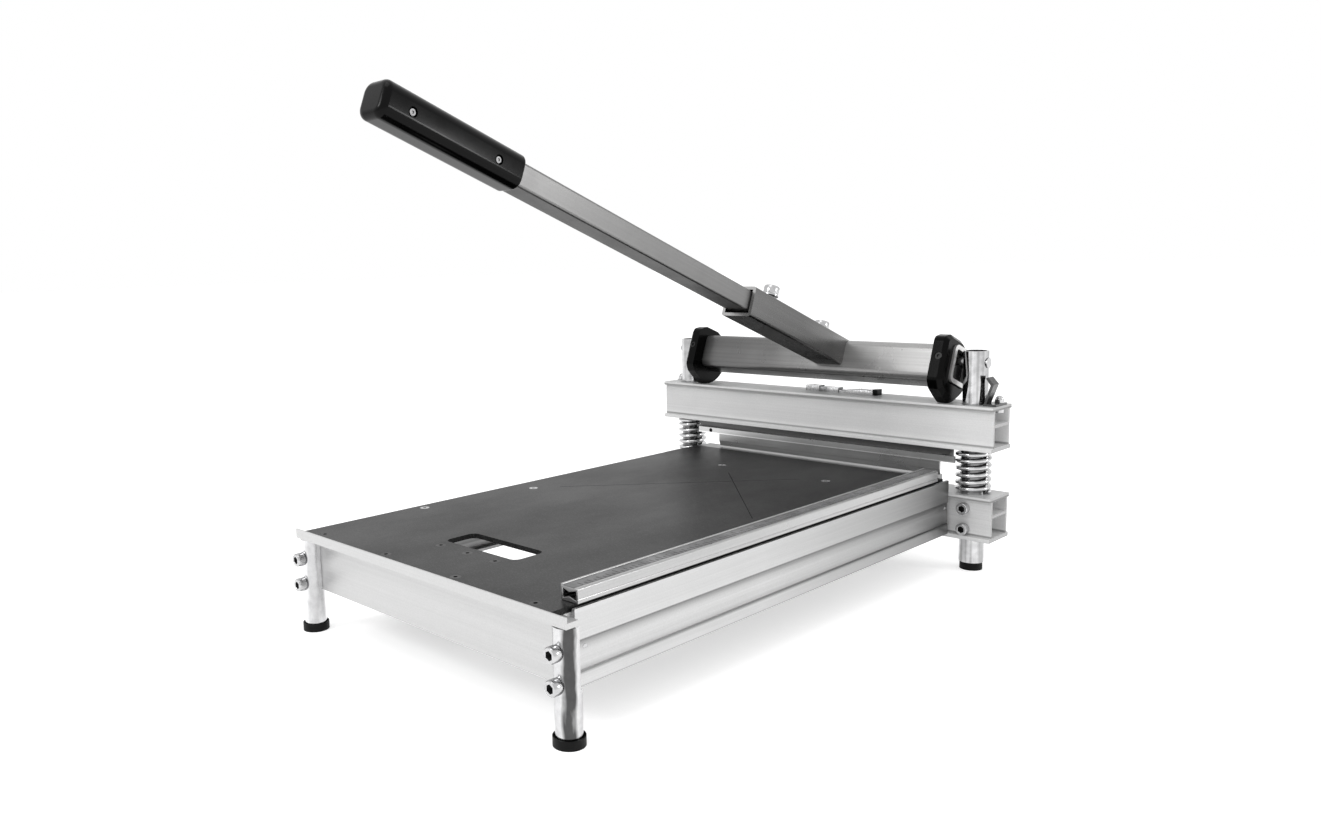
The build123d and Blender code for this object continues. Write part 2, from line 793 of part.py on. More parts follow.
# Front rail: web, ledge and the thin ridge in front of the board
front_outline = Polygon(
    (-front_web_face, rail_bottom),
    (-front_web_rear, rail_bottom),
    (-front_web_rear, ledge_bottom),
    (-front_web_rear + front_flange, ledge_bottom),
    (-front_web_rear + front_flange, board_bottom),
    (-front_edge + front_ridge, board_bottom),
    (-front_edge + front_ridge, board_top),
    (-front_edge, board_top),
    (-front_edge, ledge_bottom),
    (-front_web_face, ledge_bottom),
    align=None,
)
front_rail = Pos(-front_left, 0, 0) * extrude(Plane.YZ * front_outline, front_left + front_right)
flange_reach = front_web_rear - front_flange
front_rail = front_rail - block(
    rail_inner - rail_ledge_width - seat_gap, front_right + overrun, -front_web_rear,
    -flange_reach + overrun, ledge_bottom - overrun, board_top + overrun,
)
front_rail = front_rail - block(
    -front_left - overrun, -left_ledge_edge + seat_gap, -front_web_rear, -flange_reach + overrun,
    ledge_bottom - overrun, board_top + overrun,
)

# At its right end the rail keeps only its nose in front of the leg, with the corner open beside the board
nose_rear = -front_edge + front_nose
front_rail = front_rail - block(
    leg_x + front_web_margin, front_right + overrun, nose_rear, -front_web_rear + overrun,
    rail_bottom - overrun, board_top + overrun,
)
front_rail = front_rail - block(
    rail_inner - front_corner_gap, front_right + overrun, nose_rear, -front_web_rear + overrun, ledge_bottom,
    board_top + overrun,
)

# Corner blocks and their screws
blocks = []
corner_screws = []
screw_low = corner_bottom + corner_height * corner_screw_low_share
screw_high = corner_bottom + corner_height * corner_screw_high_share


def corner(side, inner, near, far, toward, rails, partner):
    x0, x1 = sorted((side * (inner - corner_width), side * inner))
    y0, y1 = sorted((near, far))
    body = block(x0, x1, y0, y1, corner_bottom, corner_bottom + corner_height)
    middle_x = (x0 + x1) / 2
    middle_y = (y0 + y1) / 2
    grow = corner_screw_radius + seat_gap
    reach = corner_length + corner_screw_bite
    long_hole = rod_y(
        grow, middle_x, screw_low, min(far, far - toward * reach), max(far, far - toward * reach)
    )
    side_reach = corner_width + corner_screw_bite
    start = side * (inner - corner_width)
    side_hole = rod_x(
        grow, middle_y, screw_high, min(start, start + side * side_reach), max(
            start, start + side * side_reach
        )
    )
    body = body - long_hole - side_hole
    rails = rails - side_hole
    partner = partner - long_hole
    screw = cap_screw(corner_screw_head, corner_screw_head_height, corner_screw_radius, reach - seat_gap)
    turn = -90 if toward > 0 else 90
    corner_screws.append(Pos(middle_x, far, screw_low) * Rot(turn, 0, 0) * screw)
    screw = cap_screw(
        corner_screw_head, corner_screw_head_height, corner_screw_radius, side_reach - seat_gap
    )
    corner_screws.append(Pos(start, middle_y, screw_high) * Rot(0, -side * 90, 0) * screw)
    blocks.append(body)
    return rails, partner


corner_near = -front_web_rear
corner_far = corner_near + corner_length
rail_right, front_rail = corner(1, rail_inner, corner_near, corner_far, 1, rail_right, front_rail)
left_inner = left_rail_outer - rail_wall
rail_left, front_rail = corner(-1, left_inner, corner_near, corner_far, 1, rail_left, front_rail)
corner_near = web_front
corner_far = corner_near - corner_length
rail_right, lower = corner(1, rail_inner, corner_near, corner_far, -1, rail_right, lower)
rail_left, lower = corner(-1, left_inner, corner_near, corner_far, -1, rail_left, lower)
nodes["lower_beam"] = lower
nodes["corner_blocks"] = joined(blocks)
nodes["corner_screws"] = joined(corner_screws)

# Front legs, milled flat to seat on the web, with their screws and boots
leg = rod_z(leg_radius, leg_x, -leg_y, leg_bottom, ledge_bottom - leg_top_gap)
leg = leg - rod_z(leg_radius - leg_wall, leg_x, -leg_y, leg_bottom - overrun, ledge_bottom + overrun)
leg = leg - block(
    leg_x - leg_radius - overrun, leg_x + leg_radius + overrun, -front_web_face - seat_gap,
    -leg_y + leg_radius + overrun, rail_bottom - seat_gap, ledge_bottom + overrun,
)
leg_front = leg_y + leg_radius
leg_screws = []
for height in leg_screw_heights:
    leg_hole = rod_y(bolt_radius + seat_gap, leg_x, height, -leg_front - overrun, -front_web_rear + seat_gap)
    leg = leg - leg_hole
    front_rail = front_rail - leg_hole - mirrored(leg_hole)
    screw = cap_screw(bolt_head_radius, bolt_head_height, bolt_radius, leg_front - front_web_rear - seat_gap)
    leg_screws.append(Pos(leg_x, -leg_front, height) * Rot(90, 0, 0) * screw)
nodes["front_leg_right"] = leg
nodes["front_leg_left"] = mirrored(leg)
nodes["leg_screws"] = pair(joined(leg_screws))
boot = rod_z(boot_radius, leg_x, -leg_y, 0, boot_height)
boot = boot - rod_z(leg_radius + seat_gap, leg_x, -leg_y, leg_bottom, boot_height + overrun)
boot = boot - rod_z(
    leg_radius + boot_lip_gap, leg_x, -leg_y, boot_height - boot_lip_depth, boot_height + overrun
)
nodes["leg_boots"] = pair(boot)

# Table board with its slot, scribed lines and screw holes
board = block(-board_left, board_right, -board_front, -board_rear, board_bottom, board_top)
slot_width = slot_left + slot_right
slot_place = Pos((slot_right - slot_left) / 2, -(slot_front + slot_rear) / 2, 0)
slot_face = RectangleRounded(slot_width, slot_length, slot_corner)
slot_cut = slot_place * Pos(0, 0, board_bottom - overrun) * extrude(
    slot_face, board_thickness + overrun + overrun
)
board = board - slot_cut
for left, near, right, far in scribe_lines_shares:
    x0, x1 = -board_left + board_width * left, -board_left + board_width * right
    y0, y1 = -board_front * near, -board_front * far
    length = math.hypot(x1 - x0, y1 - y0)
    groove = Box(length, scribe_width, scribe_depth + scribe_depth)
    turn = math.degrees(math.atan2(y1 - y0, x1 - x0))
    board = board - Pos((x0 + x1) / 2, (y0 + y1) / 2, board_top) * Rot(0, 0, turn) * groove

# Stiffening bar before the slot and cleats under the board
frame_left = -slot_left - slot_frame_width
frame_right = slot_right + slot_frame_width
frame_rear = -slot_front - slot_frame_setback
frame_low = board_bottom - seat_gap - slot_frame_depth
slot_frame = block(
    frame_left, frame_right, -slot_front - slot_frame_front, frame_rear, frame_low, board_bottom - seat_gap
)
cleat_low = board_bottom - seat_gap - cleat_depth
cleat_top = board_bottom - seat_gap
rear_cleat_y = -(min(rear_cleat_screw_y) + max(rear_cleat_screw_y)) / 2
right_ledge_edge = rail_inner - rail_ledge_width
rear_cleat = block(
    -left_ledge_edge + seat_gap, right_ledge_edge - seat_gap, rear_cleat_y - rear_cleat_width / 2,
    rear_cleat_y + rear_cleat_width / 2, cleat_low, cleat_top,
)
left_cleat_y = -board_front * cleat_screw_share
left_cleat_start = -left_ledge_edge + seat_gap
left_cleat = block(
    left_cleat_start, left_cleat_start + left_cleat_width, left_cleat_y - left_cleat_length / 2,
    left_cleat_y + left_cleat_length / 2, cleat_low, cleat_top,
)


# Each flat-head screw cuts its own seat through the board and into what holds it
def board_screw(x, y, length, holder_shape):
    cut = Pos(x, y, board_top) * flat_screw(
        board_screw_head, board_screw_radius, length + seat_gap, seat_gap, False
    )
    screw = Pos(x, y, board_top) * flat_screw(board_screw_head, board_screw_radius, length, 0)
    return screw, cut, holder_shape - cut


dark = []
bright = []
for share in front_screw_x_shares:
    x = -board_left + board_width * share
    screw, cut, front_rail = board_screw(x, -board_front + front_screw_inset, edge_screw_length, front_rail)
    board = board - cut
    dark.append(screw)
for share in slot_screw_x_shares:
    x = -slot_left + slot_width * share
    screw, cut, slot_frame = board_screw(x, -slot_front - slot_screw_inset, board_screw_length, slot_frame)
    board = board - cut
    dark.append(screw)
ledge_screw_x = -left_rail_outer + rail_wall + ledge_screw_inset
screw, cut, rail_left = board_screw(
    ledge_screw_x, -board_front * ledge_screw_share, edge_screw_length, rail_left
)
board = board - cut
bright.append(screw)
cleat_screw_x = -left_ledge_edge + cleat_screw_inset
screw, cut, left_cleat = board_screw(cleat_screw_x, left_cleat_y, board_screw_length, left_cleat)
board = board - cut
bright.append(screw)
for share, y in zip(rear_cleat_screw_x_shares, rear_cleat_screw_y):
    x = -board_left + board_width * share
    screw, cut, rear_cleat = board_screw(x, -y, board_screw_length, rear_cleat)
    board = board - cut
    bright.append(screw)
nodes["board_screws_dark"] = joined(dark)
nodes["board_screws_bright"] = joined(bright)
nodes["slot_frame"] = slot_frame
nodes["rear_cleat"] = rear_cleat
nodes["left_cleat"] = left_cleat
nodes["front_rail"] = front_rail
nodes["rail_left"] = rail_left

# Angle fence: a hollow bar with a waisted cavity, a recessed scale and a pivot screw
fence_low = board_top + rest_gap
fence_high = fence_low + fence_height
fence_right = fence_left + fence_width
fence_middle = fence_left + fence_width / 2
fence_outline = Polygon(
    (fence_left, fence_low),
    (fence_right, fence_low),
    (fence_right, fence_low + fence_groove_rise - fence_groove),
    (fence_right - fence_groove, fence_low + fence_groove_rise),
    (fence_right, fence_low + fence_groove_rise + fence_groove),
    (fence_right, fence_high - fence_chamfer),
    (fence_right - fence_chamfer, fence_high - fence_top_depth),
    (fence_left + fence_rim, fence_high - fence_top_depth - scale_thickness),
    (fence_left + fence_rim, fence_high),
    (fence_left, fence_high),
    align=None,
)
scale_left = fence_left + fence_rim + seat_gap
scale_right = fence_right - fence_chamfer - fence_rim
scale_low = fence_high - fence_top_depth - scale_thickness
fence = Pos(0, -fence_rear, 0) * extrude(Plane.XZ * fence_outline, fence_front - fence_rear)
fence = fence - block(
    fence_left + fence_rim, scale_right + seat_gap, -fence_front - overrun, -fence_rear + overrun, scale_low,
    fence_high + overrun,
)
cavity_low = fence_low + fence_wall
cavity_high = scale_low - fence_wall
cavity_middle = (cavity_low + cavity_high) / 2
cavity = Polygon(
    (fence_left + fence_wall, cavity_low),
    (fence_middle, cavity_middle - fence_waist),
    (fence_right - fence_wall, cavity_low),
    (fence_right - fence_wall, cavity_high),
    (fence_middle, cavity_middle + fence_waist),
    (fence_left + fence_wall, cavity_high),
    align=None,
)
fence = fence - Pos(0, -fence_rear + overrun, 0) * extrude(
    Plane.XZ * cavity, fence_front - fence_rear + overrun + overrun
)
pocket = fence_pivot_cap + fence_pivot_radius / 2
fence = fence - rod_z(
    fence_pivot_radius + pin_gap, fence_middle, -fence_pivot_y, fence_low - overrun, cavity_middle
)
pocket_box = block(
    fence_middle - pocket, fence_middle + pocket, -fence_pivot_y - pocket, -fence_pivot_y + pocket,
    cavity_low, cavity_high
)
fence = fence - pocket_box
nodes["fence"] = fence
nodes["fence_scale"] = block(
    scale_left, scale_right, -fence_front, -fence_rear, scale_low, scale_low + scale_thickness
)
pivot_low = ledge_bottom
fence_pin = rod_z(
    fence_pivot_head, fence_middle, -fence_pivot_y, pivot_low - fence_pivot_head_height, pivot_low
)
cap_low = cavity_low + seat_gap
fence_pin = fence_pin + rod_z(fence_pivot_radius, fence_middle, -fence_pivot_y, pivot_low, cap_low)
fence_pin = fence_pin + rod_z(
    fence_pivot_cap, fence_middle, -fence_pivot_y, cap_low, cap_low + fence_pivot_cap_height
)
pin_hole = rod_z(
    fence_pivot_radius + seat_gap, fence_middle, -fence_pivot_y, pivot_low - overrun, board_top + overrun
)
nodes["fence_pivot"] = fence_pin
nodes["rail_right"] = rail_right - pin_hole
nodes["table_board"] = board - pin_hole

# Lever pieces are drawn with Y along the handle, rearward, and Z square to it, about the pivot
lever_place = Pos(0, pivot_y, pivot_height) * Rot(-lever_rest_angle, 0, 0)


def bar_along(x, v, width, height, corner, u0, u1):
    face = Pos(x, v) * RectangleRounded(width, height, corner)
    return Pos(0, u1, 0) * extrude(Plane.XZ * face, u1 - u0)


def tube_along(x, v, width, height, corner, wall, u0, u1):
    inner = max(corner - wall, pin_gap)
    body = bar_along(x, v, width, height, corner, u0, u1)
    bore = bar_along(x, v, width - wall - wall, height - wall - wall, inner, u0 - overrun, u1 + overrun)
    return body - bore


def cross_bar(grow, half):
    size = cross_size + grow + grow
    face = Pos(cross_offset, -cross_offset) * RectangleRounded(size, size, cross_corner + grow)
    return Pos(-half, 0, 0) * extrude(Plane.YZ * face, half + half)


cross = cross_bar(0, cross_half) - cross_bar(-cross_wall, cross_half + overrun)


# The lower rear outline of a cap keeps the upper beam at its height at every lever angle
def cam_point(angle):
    turned = math.radians(angle)
    support = cam_drop - rest_gap - cam_lead * math.radians(angle - lever_rest_angle)
    return (
        support * math.sin(turned) - cam_lead * math.cos(turned),
        -support * math.cos(turned) - cam_lead * math.sin(turned),
    )


cam_first = lever_rest_angle - lever_down_angle
cam_span = lever_down_angle + lever_up_angle
cam = [cam_point(cam_first + cam_span * step / 8) for step in range(9)]
keel = [(cam_drop * a, cam_drop * b) for a, b in cap_keel_shares]
cap_edges = []
for step in range(0, 8, 2):
    cap_edges.extend(ThreePointArc(cam[step], cam[step + 1], cam[step + 2]).edges())
cap_corners = [
    cam[8],
    (cap_rear, cap_top * cap_rear_v_share),
    (cap_rear * cap_shoulder_u_share, cap_top * cap_shoulder_v_share),
    (cap_rear * cap_top_rear_share, cap_top),
    (-cap_front * cap_top_front_share, cap_top),
    (-cap_front, cap_top * cap_front_high_share),
    (-cap_front, -cap_front * cap_front_low_share),
    keel[0],
    keel[1],
    cam[0],
]
cap_edges.extend(Polyline(*cap_corners).edges())
cap_face = make_face(cap_edges)
rounded = [min(cap_face.vertices(), key=lambda v: math.hypot(v.X - y, v.Y - z)) for y, z in cap_corners[1:9]]
cap_face = fillet(rounded, cap_corner)
cap = Pos(cap_inner, 0, 0) * extrude(Plane.YZ * cap_face, cap_outer - cap_inner)
cap = chamfer(cap.faces().sort_by(Axis.X)[-1].edges(), cap_edge)
cap = cap - cross_bar(seat_gap, cross_half + overrun)
cap_middle = (cap_inner + cap_outer) / 2
cap_screw_seat = -cap_front + cap_screw_recess + cap_screw_head_height
cap_screw_reach = cross_front + cross_wall - cap_screw_seat
cap = cap - rod_y(cap_screw_head + seat_gap, cap_middle, -cap_screw_v, -cap_front - overrun, cap_screw_seat)
screw_hole = rod_y(
    cap_screw_radius + seat_gap, cap_middle, -cap_screw_v, cap_screw_seat, cross_front + cross_wall
)
cap = cap - screw_hole
cross = cross - screw_hole - mirrored(screw_hole)
cap_bolt = cap_screw(cap_screw_head, cap_screw_head_height, cap_screw_radius, cap_screw_reach - seat_gap)
cap_bolt = Pos(cap_middle, cap_screw_seat, -cap_screw_v) * Rot(90, 0, 0) * cap_bolt
nodes["cap_right"] = lever_place * cap
nodes["cap_left"] = lever_place * mirrored(cap)
nodes["cap_screws"] = lever_place * pair(cap_bolt)

# Bearing blocks in the tube's ends turn on bolts through the posts
bearing = cross_bar(-cross_wall - seat_gap, pivot_block_outer)
bearing = bearing - block(
    -pivot_block_outer - overrun, pivot_block_outer - pivot_block_length, cross_front, cross_rear, cross_low,
    cross_high
)
bearing = bearing - rod_x(pivot_bolt_radius + pin_gap, 0, 0, 0, cross_half)
nodes["pivot_blocks"] = lever_place * pair(bearing)
post_side = post_x + post_radius
pivot_bolt = rod_x(pivot_bolt_radius, pivot_y, pivot_height, pivot_block_outer - pivot_bolt_reach, post_side)
pivot_bolt = pivot_bolt + rod_x(
    pivot_head_radius, pivot_y, pivot_height, post_side, post_side + pivot_head_height
)
nodes["pivot_bolts"] = pair(pivot_bolt)

# Sleeve, its clamp screws and the handle that slides in it
sleeve = tube_along(
    sleeve_x, (sleeve_low + sleeve_top) / 2, sleeve_half + sleeve_half, sleeve_top - sleeve_low,
    sleeve_corner, sleeve_wall, -sleeve_reach, cross_front + cross_corner,
)
sleeve = sleeve - cross_bar(0, cross_half)
clamp_screws = []
clamp_washers = []
for index, u in enumerate(clamp_u):
    seat = sleeve_top + (clamp_lift if index == 0 else 0)
    sleeve = sleeve - rod_z(clamp_radius + seat_gap, sleeve_x, u, 0, sleeve_top + overrun)
    washer = rod_z(clamp_washer_radius, sleeve_x, u, seat, seat + clamp_washer)
    clamp_washers.append(
        washer - rod_z(clamp_radius + seat_gap, sleeve_x, u, seat - overrun, seat + overrun)
    )
    tip = handle_high + rest_gap
    screw = cap_screw(clamp_head_radius, clamp_head_height, clamp_radius, seat + clamp_washer - tip)
    clamp_screws.append(Pos(sleeve_x, u, seat + clamp_washer) * screw)
nodes["sleeve"] = lever_place * sleeve
nodes["clamp_screws"] = lever_place * joined(clamp_screws)
nodes["clamp_washers"] = lever_place * joined(clamp_washers)
nodes["cross_tube"] = lever_place * cross
handle = tube_along(
    sleeve_x, handle_rise, handle_width, handle_height, handle_corner, handle_wall, -handle_outer_end,
    -handle_inner_end
)
grip = bar_along(sleeve_x, grip_rise, grip_width, grip_height, grip_corner, -grip_end, -grip_start)
grip = fillet(grip.faces().sort_by(Axis.Y)[0].edges(), grip_end_round)
grip = fillet(grip.faces().sort_by(Axis.Y)[-1].edges(), grip_lip_round)
grip = grip - bar_along(
    sleeve_x, handle_rise, handle_width + seat_gap + seat_gap, handle_height + seat_gap + seat_gap,
    handle_corner + seat_gap, -handle_outer_end - seat_gap, -grip_start + overrun,
)
grip_side = sleeve_x + grip_width / 2
grip_seat = grip_side - grip_screw_recess - grip_screw_head_height
handle_side = sleeve_x + handle_width / 2
grip_screws = []
for u in grip_screw_u:
    grip = grip - rod_x(grip_recess_radius, u, grip_screw_rise, grip_seat, grip_side + overrun)
    hole = rod_x(grip_screw_radius + seat_gap, u, grip_screw_rise, handle_side - handle_wall, grip_seat)
    grip = grip - hole
    handle = handle - hole
    screw = cap_screw(
        grip_screw_head, grip_screw_head_height, grip_screw_radius,
        grip_seat - handle_side + handle_wall - seat_gap
    )
    grip_screws.append(Pos(grip_seat, u, grip_screw_rise) * Rot(0, 90, 0) * screw)
nodes["handle_tube"] = lever_place * handle
nodes["grip"] = lever_place * grip
nodes["grip_screws"] = lever_place * joined(grip_screws)

# The whole part stands with the bottom centre of its bounding box at the origin
boxes = [shape.bounding_box() for shape in nodes.values()]
shift_x = -(min(box.min.X for box in boxes) + max(box.max.X for box in boxes)) / 2
shift_y = -(min(box.min.Y for box in boxes) + max(box.max.Y for box in boxes)) / 2
for name, shape in nodes.items():
    export_step(Pos(shift_x, shift_y, 0) * shape, "parts/" + name + ".step")
print("nodes", len(nodes), "shift", round(shift_x, 4), round(shift_y, 4))
print("pivot y z", round(pivot_y + shift_y, 4), pivot_height)
print("fence pivot x y", round(fence_middle + shift_x, 4), round(-fence_pivot_y + shift_y, 4))
print("spring foot z", lower_top, "top", max(box.max.Z for box in boxes))
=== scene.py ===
import math

import bmesh
import bpy
from mathutils import Matrix, Vector


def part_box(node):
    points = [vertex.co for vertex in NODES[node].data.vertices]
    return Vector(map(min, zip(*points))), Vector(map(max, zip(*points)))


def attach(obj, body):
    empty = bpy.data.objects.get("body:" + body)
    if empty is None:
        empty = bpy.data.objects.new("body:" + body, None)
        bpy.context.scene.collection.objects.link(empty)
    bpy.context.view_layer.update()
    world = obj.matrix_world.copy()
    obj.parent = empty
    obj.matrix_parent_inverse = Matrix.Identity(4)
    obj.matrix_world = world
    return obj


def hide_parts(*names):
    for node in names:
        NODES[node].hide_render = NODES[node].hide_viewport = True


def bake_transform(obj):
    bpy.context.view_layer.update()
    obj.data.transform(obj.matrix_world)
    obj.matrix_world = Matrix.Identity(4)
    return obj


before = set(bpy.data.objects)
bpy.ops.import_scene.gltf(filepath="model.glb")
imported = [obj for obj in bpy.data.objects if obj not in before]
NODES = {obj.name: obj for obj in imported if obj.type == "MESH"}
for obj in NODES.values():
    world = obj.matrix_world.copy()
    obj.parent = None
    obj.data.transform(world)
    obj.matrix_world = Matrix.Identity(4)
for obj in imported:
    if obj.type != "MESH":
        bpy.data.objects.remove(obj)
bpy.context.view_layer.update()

# Places and sizes shared with the CAD model, in metres, in the row frame
SHIFT_Y = 0.2882701
POST_X, POST_Y = 0.1987, 0.0238 + SHIFT_Y
PIVOT = Vector((0, POST_Y, 0.2316))
LEVER_ANGLE = math.radians(20.5)
LEVER = Matrix.Translation(PIVOT) @ Matrix.Rotation(-LEVER_ANGLE, 4, "X")
TILT = (LEVER_ANGLE, 0, 0)
SPRING_LOW, SPRING_HIGH = 0.0868, 0.1368
COIL_RADIUS, WIRE_RADIUS = 0.0169, 0.0021
M8 = {"height": 0.008, "shank": 0.004, "flats": 0.0065}
M10 = {"height": 0.0095, "shank": 0.005, "flats": 0.008}
SCRIBED = ((-0.122, -0.304, 0.059, -0.103), (-0.025, -0.124, 0.125, -0.284))
MARK_PITCH = 0.005
MARK_LONG, MARK_MIDDLE, MARK_SHORT = 0.0085, 0.006, 0.004

# The camera, solved from the photograph: radians, metres, and pixels of the photograph
AZIMUTH, ELEVATION, ROLL = 0.8248, 0.1341, 0.0287
CAMERA_PLACE = (0.70084, -1.07865 + SHIFT_Y, 0.35033)
PHOTO_WIDTH, PHOTO_HEIGHT = 1321, 826
FOCAL_LENGTH = 1027.27
CENTRE_X, CENTRE_Y = 548.38, 403.59
SENSOR = 36

# Studio light: lamps as name, place, side and power; the world's strength as a light and as seen
LAMPS = (
    ("key", (-0.6, -1.95, 1.65), 0.7, 15.0),
    ("right", (2.05, 1.2, 0.72), 0.4, 9.0),
    ("top", (0.1, -0.6, 2.2), 1.2, 6.0),
)
LAMP_AIM = Vector((0, 0, 0.15))
WORLD_LIT, WORLD_SEEN = 0.8, 1.0
FLOOR_HALF, FLOOR_GREY, FLOOR_GLOW = 30.0, 0.86, 0.55


def placed(name, data):
    item = bpy.data.objects.new(name, data)
    bpy.context.scene.collection.objects.link(item)
    return item


# Camera at the photograph's viewing angle
def camera():
    back = Vector((
        math.sin(AZIMUTH) * math.cos(ELEVATION),
        -math.cos(AZIMUTH) * math.cos(ELEVATION),
        math.sin(ELEVATION),
    ))
    ahead = -back
    right0 = Vector((ahead.y, -ahead.x, 0)).normalized()
    down0 = ahead.cross(right0)
    right = right0 * math.cos(ROLL) + down0 * math.sin(ROLL)
    down = down0 * math.cos(ROLL) - right0 * math.sin(ROLL)
    data = bpy.data.cameras.new("camera")
    data.sensor_width = SENSOR
    data.lens = SENSOR * FOCAL_LENGTH / PHOTO_WIDTH
    data.shift_x = 0.5 - CENTRE_X / PHOTO_WIDTH
    data.shift_y = (CENTRE_Y - PHOTO_HEIGHT / 2) / PHOTO_WIDTH
    data.clip_start = 0.05
    data.clip_end = 50
    item = placed("camera", data)
    turn = Matrix((
        (right.x, -down.x, back.x),
        (right.y, -down.y, back.y),
        (right.z, -down.z, back.z),
    ))
    item.matrix_world = Matrix.Translation(CAMERA_PLACE) @ turn.to_4x4()
    bpy.context.scene.camera = item


# A new material, cleared to one Principled shader
def shader(name):
    mat = bpy.data.materials.new(name)
    mat.use_nodes = True
    tree = mat.node_tree
    tree.nodes.clear()
    out = tree.nodes.new("ShaderNodeOutputMaterial")
    bsdf = tree.nodes.new("ShaderNodeBsdfPrincipled")
    tree.links.new(bsdf.outputs[0], out.inputs[0])
    return mat, tree, bsdf


# Object coordinates, turned and then stretched
def coords(tree, scale=(1, 1, 1), turn=(0, 0, 0)):
    place = tree.nodes.new("ShaderNodeTexCoord")
    turned = tree.nodes.new("ShaderNodeMapping")
    turned.inputs["Rotation"].default_value = turn
    tree.links.new(place.outputs["Object"], turned.inputs["Vector"])
    scaled = tree.nodes.new("ShaderNodeMapping")
    scaled.inputs["Scale"].default_value = scale
    tree.links.new(turned.outputs[0], scaled.inputs["Vector"])
    return scaled.outputs[0]


def noise(tree, vector, scale, detail=3, rough=0.5):
    node = tree.nodes.new("ShaderNodeTexNoise")
    node.inputs["Scale"].default_value = scale
    node.inputs["Detail"].default_value = detail
    node.inputs["Roughness"].default_value = rough
    tree.links.new(vector, node.inputs["Vector"])
    return node.outputs[0]


def ramp(tree, value, stops):
    node = tree.nodes.new("ShaderNodeValToRGB")
    line = node.color_ramp
    while len(line.elements) < len(stops):
        line.elements.new(0.5)
    for element, (at, color) in zip(line.elements, stops):
        element.position = at
        element.color = (*color, 1) if isinstance(color, tuple) else (color, color, color, 1)
    tree.links.new(value, node.inputs[0])
    return node.outputs[0]


# The value's range from low to high, mapped to another range
def span(tree, value, low, high, to_low, to_high, clamp=True):
    node = tree.nodes.new("ShaderNodeMapRange")
    node.clamp = clamp
    node.inputs["From Min"].default_value = low
    node.inputs["From Max"].default_value = high
    node.inputs["To Min"].default_value = to_low
    node.inputs["To Max"].default_value = to_high
    tree.links.new(value, node.inputs["Value"])
    return node.outputs["Result"]


def mixed(tree, kind, a, b, factor=1.0):
    node = tree.nodes.new("ShaderNodeMix")
    node.data_type = "RGBA"
    node.blend_type = kind
    node.inputs[0].default_value = factor
    tree.links.new(a, node.inputs[6])
    tree.links.new(b, node.inputs[7])
    return node.outputs[2]


def multiplied(tree, color, *shares):
    for share in shares:
        color = mixed(tree, "MULTIPLY", color, share)
    return color


def bump(tree, into, height, strength, distance):
    node = tree.nodes.new("ShaderNodeBump")
    node.inputs["Strength"].default_value = strength
    node.inputs["Distance"].default_value = distance
    tree.links.new(height, node.inputs["Height"])
    tree.links.new(node.outputs[0], into.inputs["Normal"])
    return node


def part_of(tree, vector, axis):
    parts = tree.nodes.new("ShaderNodeSeparateXYZ")
    tree.links.new(vector, parts.inputs[0])
    return parts.outputs["XYZ".index(axis)]


# One step of arithmetic on sockets or numbers
def counted(tree, kind, a, b=None):
    node = tree.nodes.new("ShaderNodeMath")
    node.operation = kind
    for place, value in enumerate((a, b)):
        if isinstance(value, (int, float)):
            node.inputs[place].default_value = value
        elif value is not None:
            tree.links.new(value, node.inputs[place])
    return node.outputs[0]


def facing_along(tree, axis):
    return part_of(tree, tree.nodes.new("ShaderNodeTexCoord").outputs["Normal"], axis)


# Painted shade: faces that point down get a darker factor than the rest
def painted_underside_shade(tree, underside_shade):
    facing = facing_along(tree, "Z")
    return span(tree, facing, -0.9, -0.75, 1 - underside_shade, 1)


# Sawn ends, square to the given axis, have a tone of their own
def sawn_end(tree, axis, share):
    return span(tree, counted(tree, "ABSOLUTE", facing_along(tree, axis)), 0.9, 0.93, 1, share)


# Painted shade along one axis of a node, over shares of its size: shade under flanges, steps and
# lips, in gaps, and towards the less lit end
def painted_shade_along(tree, node, axis, stops):
    low, high = (corner["XYZ".index(axis)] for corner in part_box(node))
    place = part_of(tree, tree.nodes.new("ShaderNodeTexCoord").outputs["Object"], axis)
    return ramp(tree, span(tree, place, low, high, 0, 1), stops)


# Slightly domed face: its height falls away from a line in the tilted frame of the lever
def domed(tree, middle, curve):
    across = counted(tree, "SUBTRACT", part_of(tree, coords(tree, turn=TILT), "Z"), middle)
    return counted(tree, "MULTIPLY", counted(tree, "MULTIPLY", across, across), -curve)


# Painted reflection: a soft dark band along one side of an upright tube, towards the given
# direction
def painted_reflection_band(tree, node, facing, depth):
    low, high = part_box(node)
    middle = ((low[0] + high[0]) / 2, (low[1] + high[1]) / 2)
    radius = (high[0] - low[0]) / 2
    place = tree.nodes.new("ShaderNodeTexCoord").outputs["Object"]
    reach = 0
    for axis in (0, 1):
        part = part_of(tree, place, "XY"[axis])
        along = span(tree, part, middle[axis], middle[axis] + radius, 0, facing[axis], clamp=False)
        reach = counted(tree, "ADD", along, reach)
    cloud = noise(tree, coords(tree, (160, 160, 45)), 1.0, 2, 0.5)
    reach = counted(tree, "ADD", reach, span(tree, cloud, 0.3, 0.7, -0.06, 0.06))
    return ramp(tree, reach, ((0.8, 1.0), (0.96, 1 - depth)))


# A scale that draws a texture out along one axis
def drawn_out(axis, across, along):
    return [along if axis == each else across for each in "XYZ"]
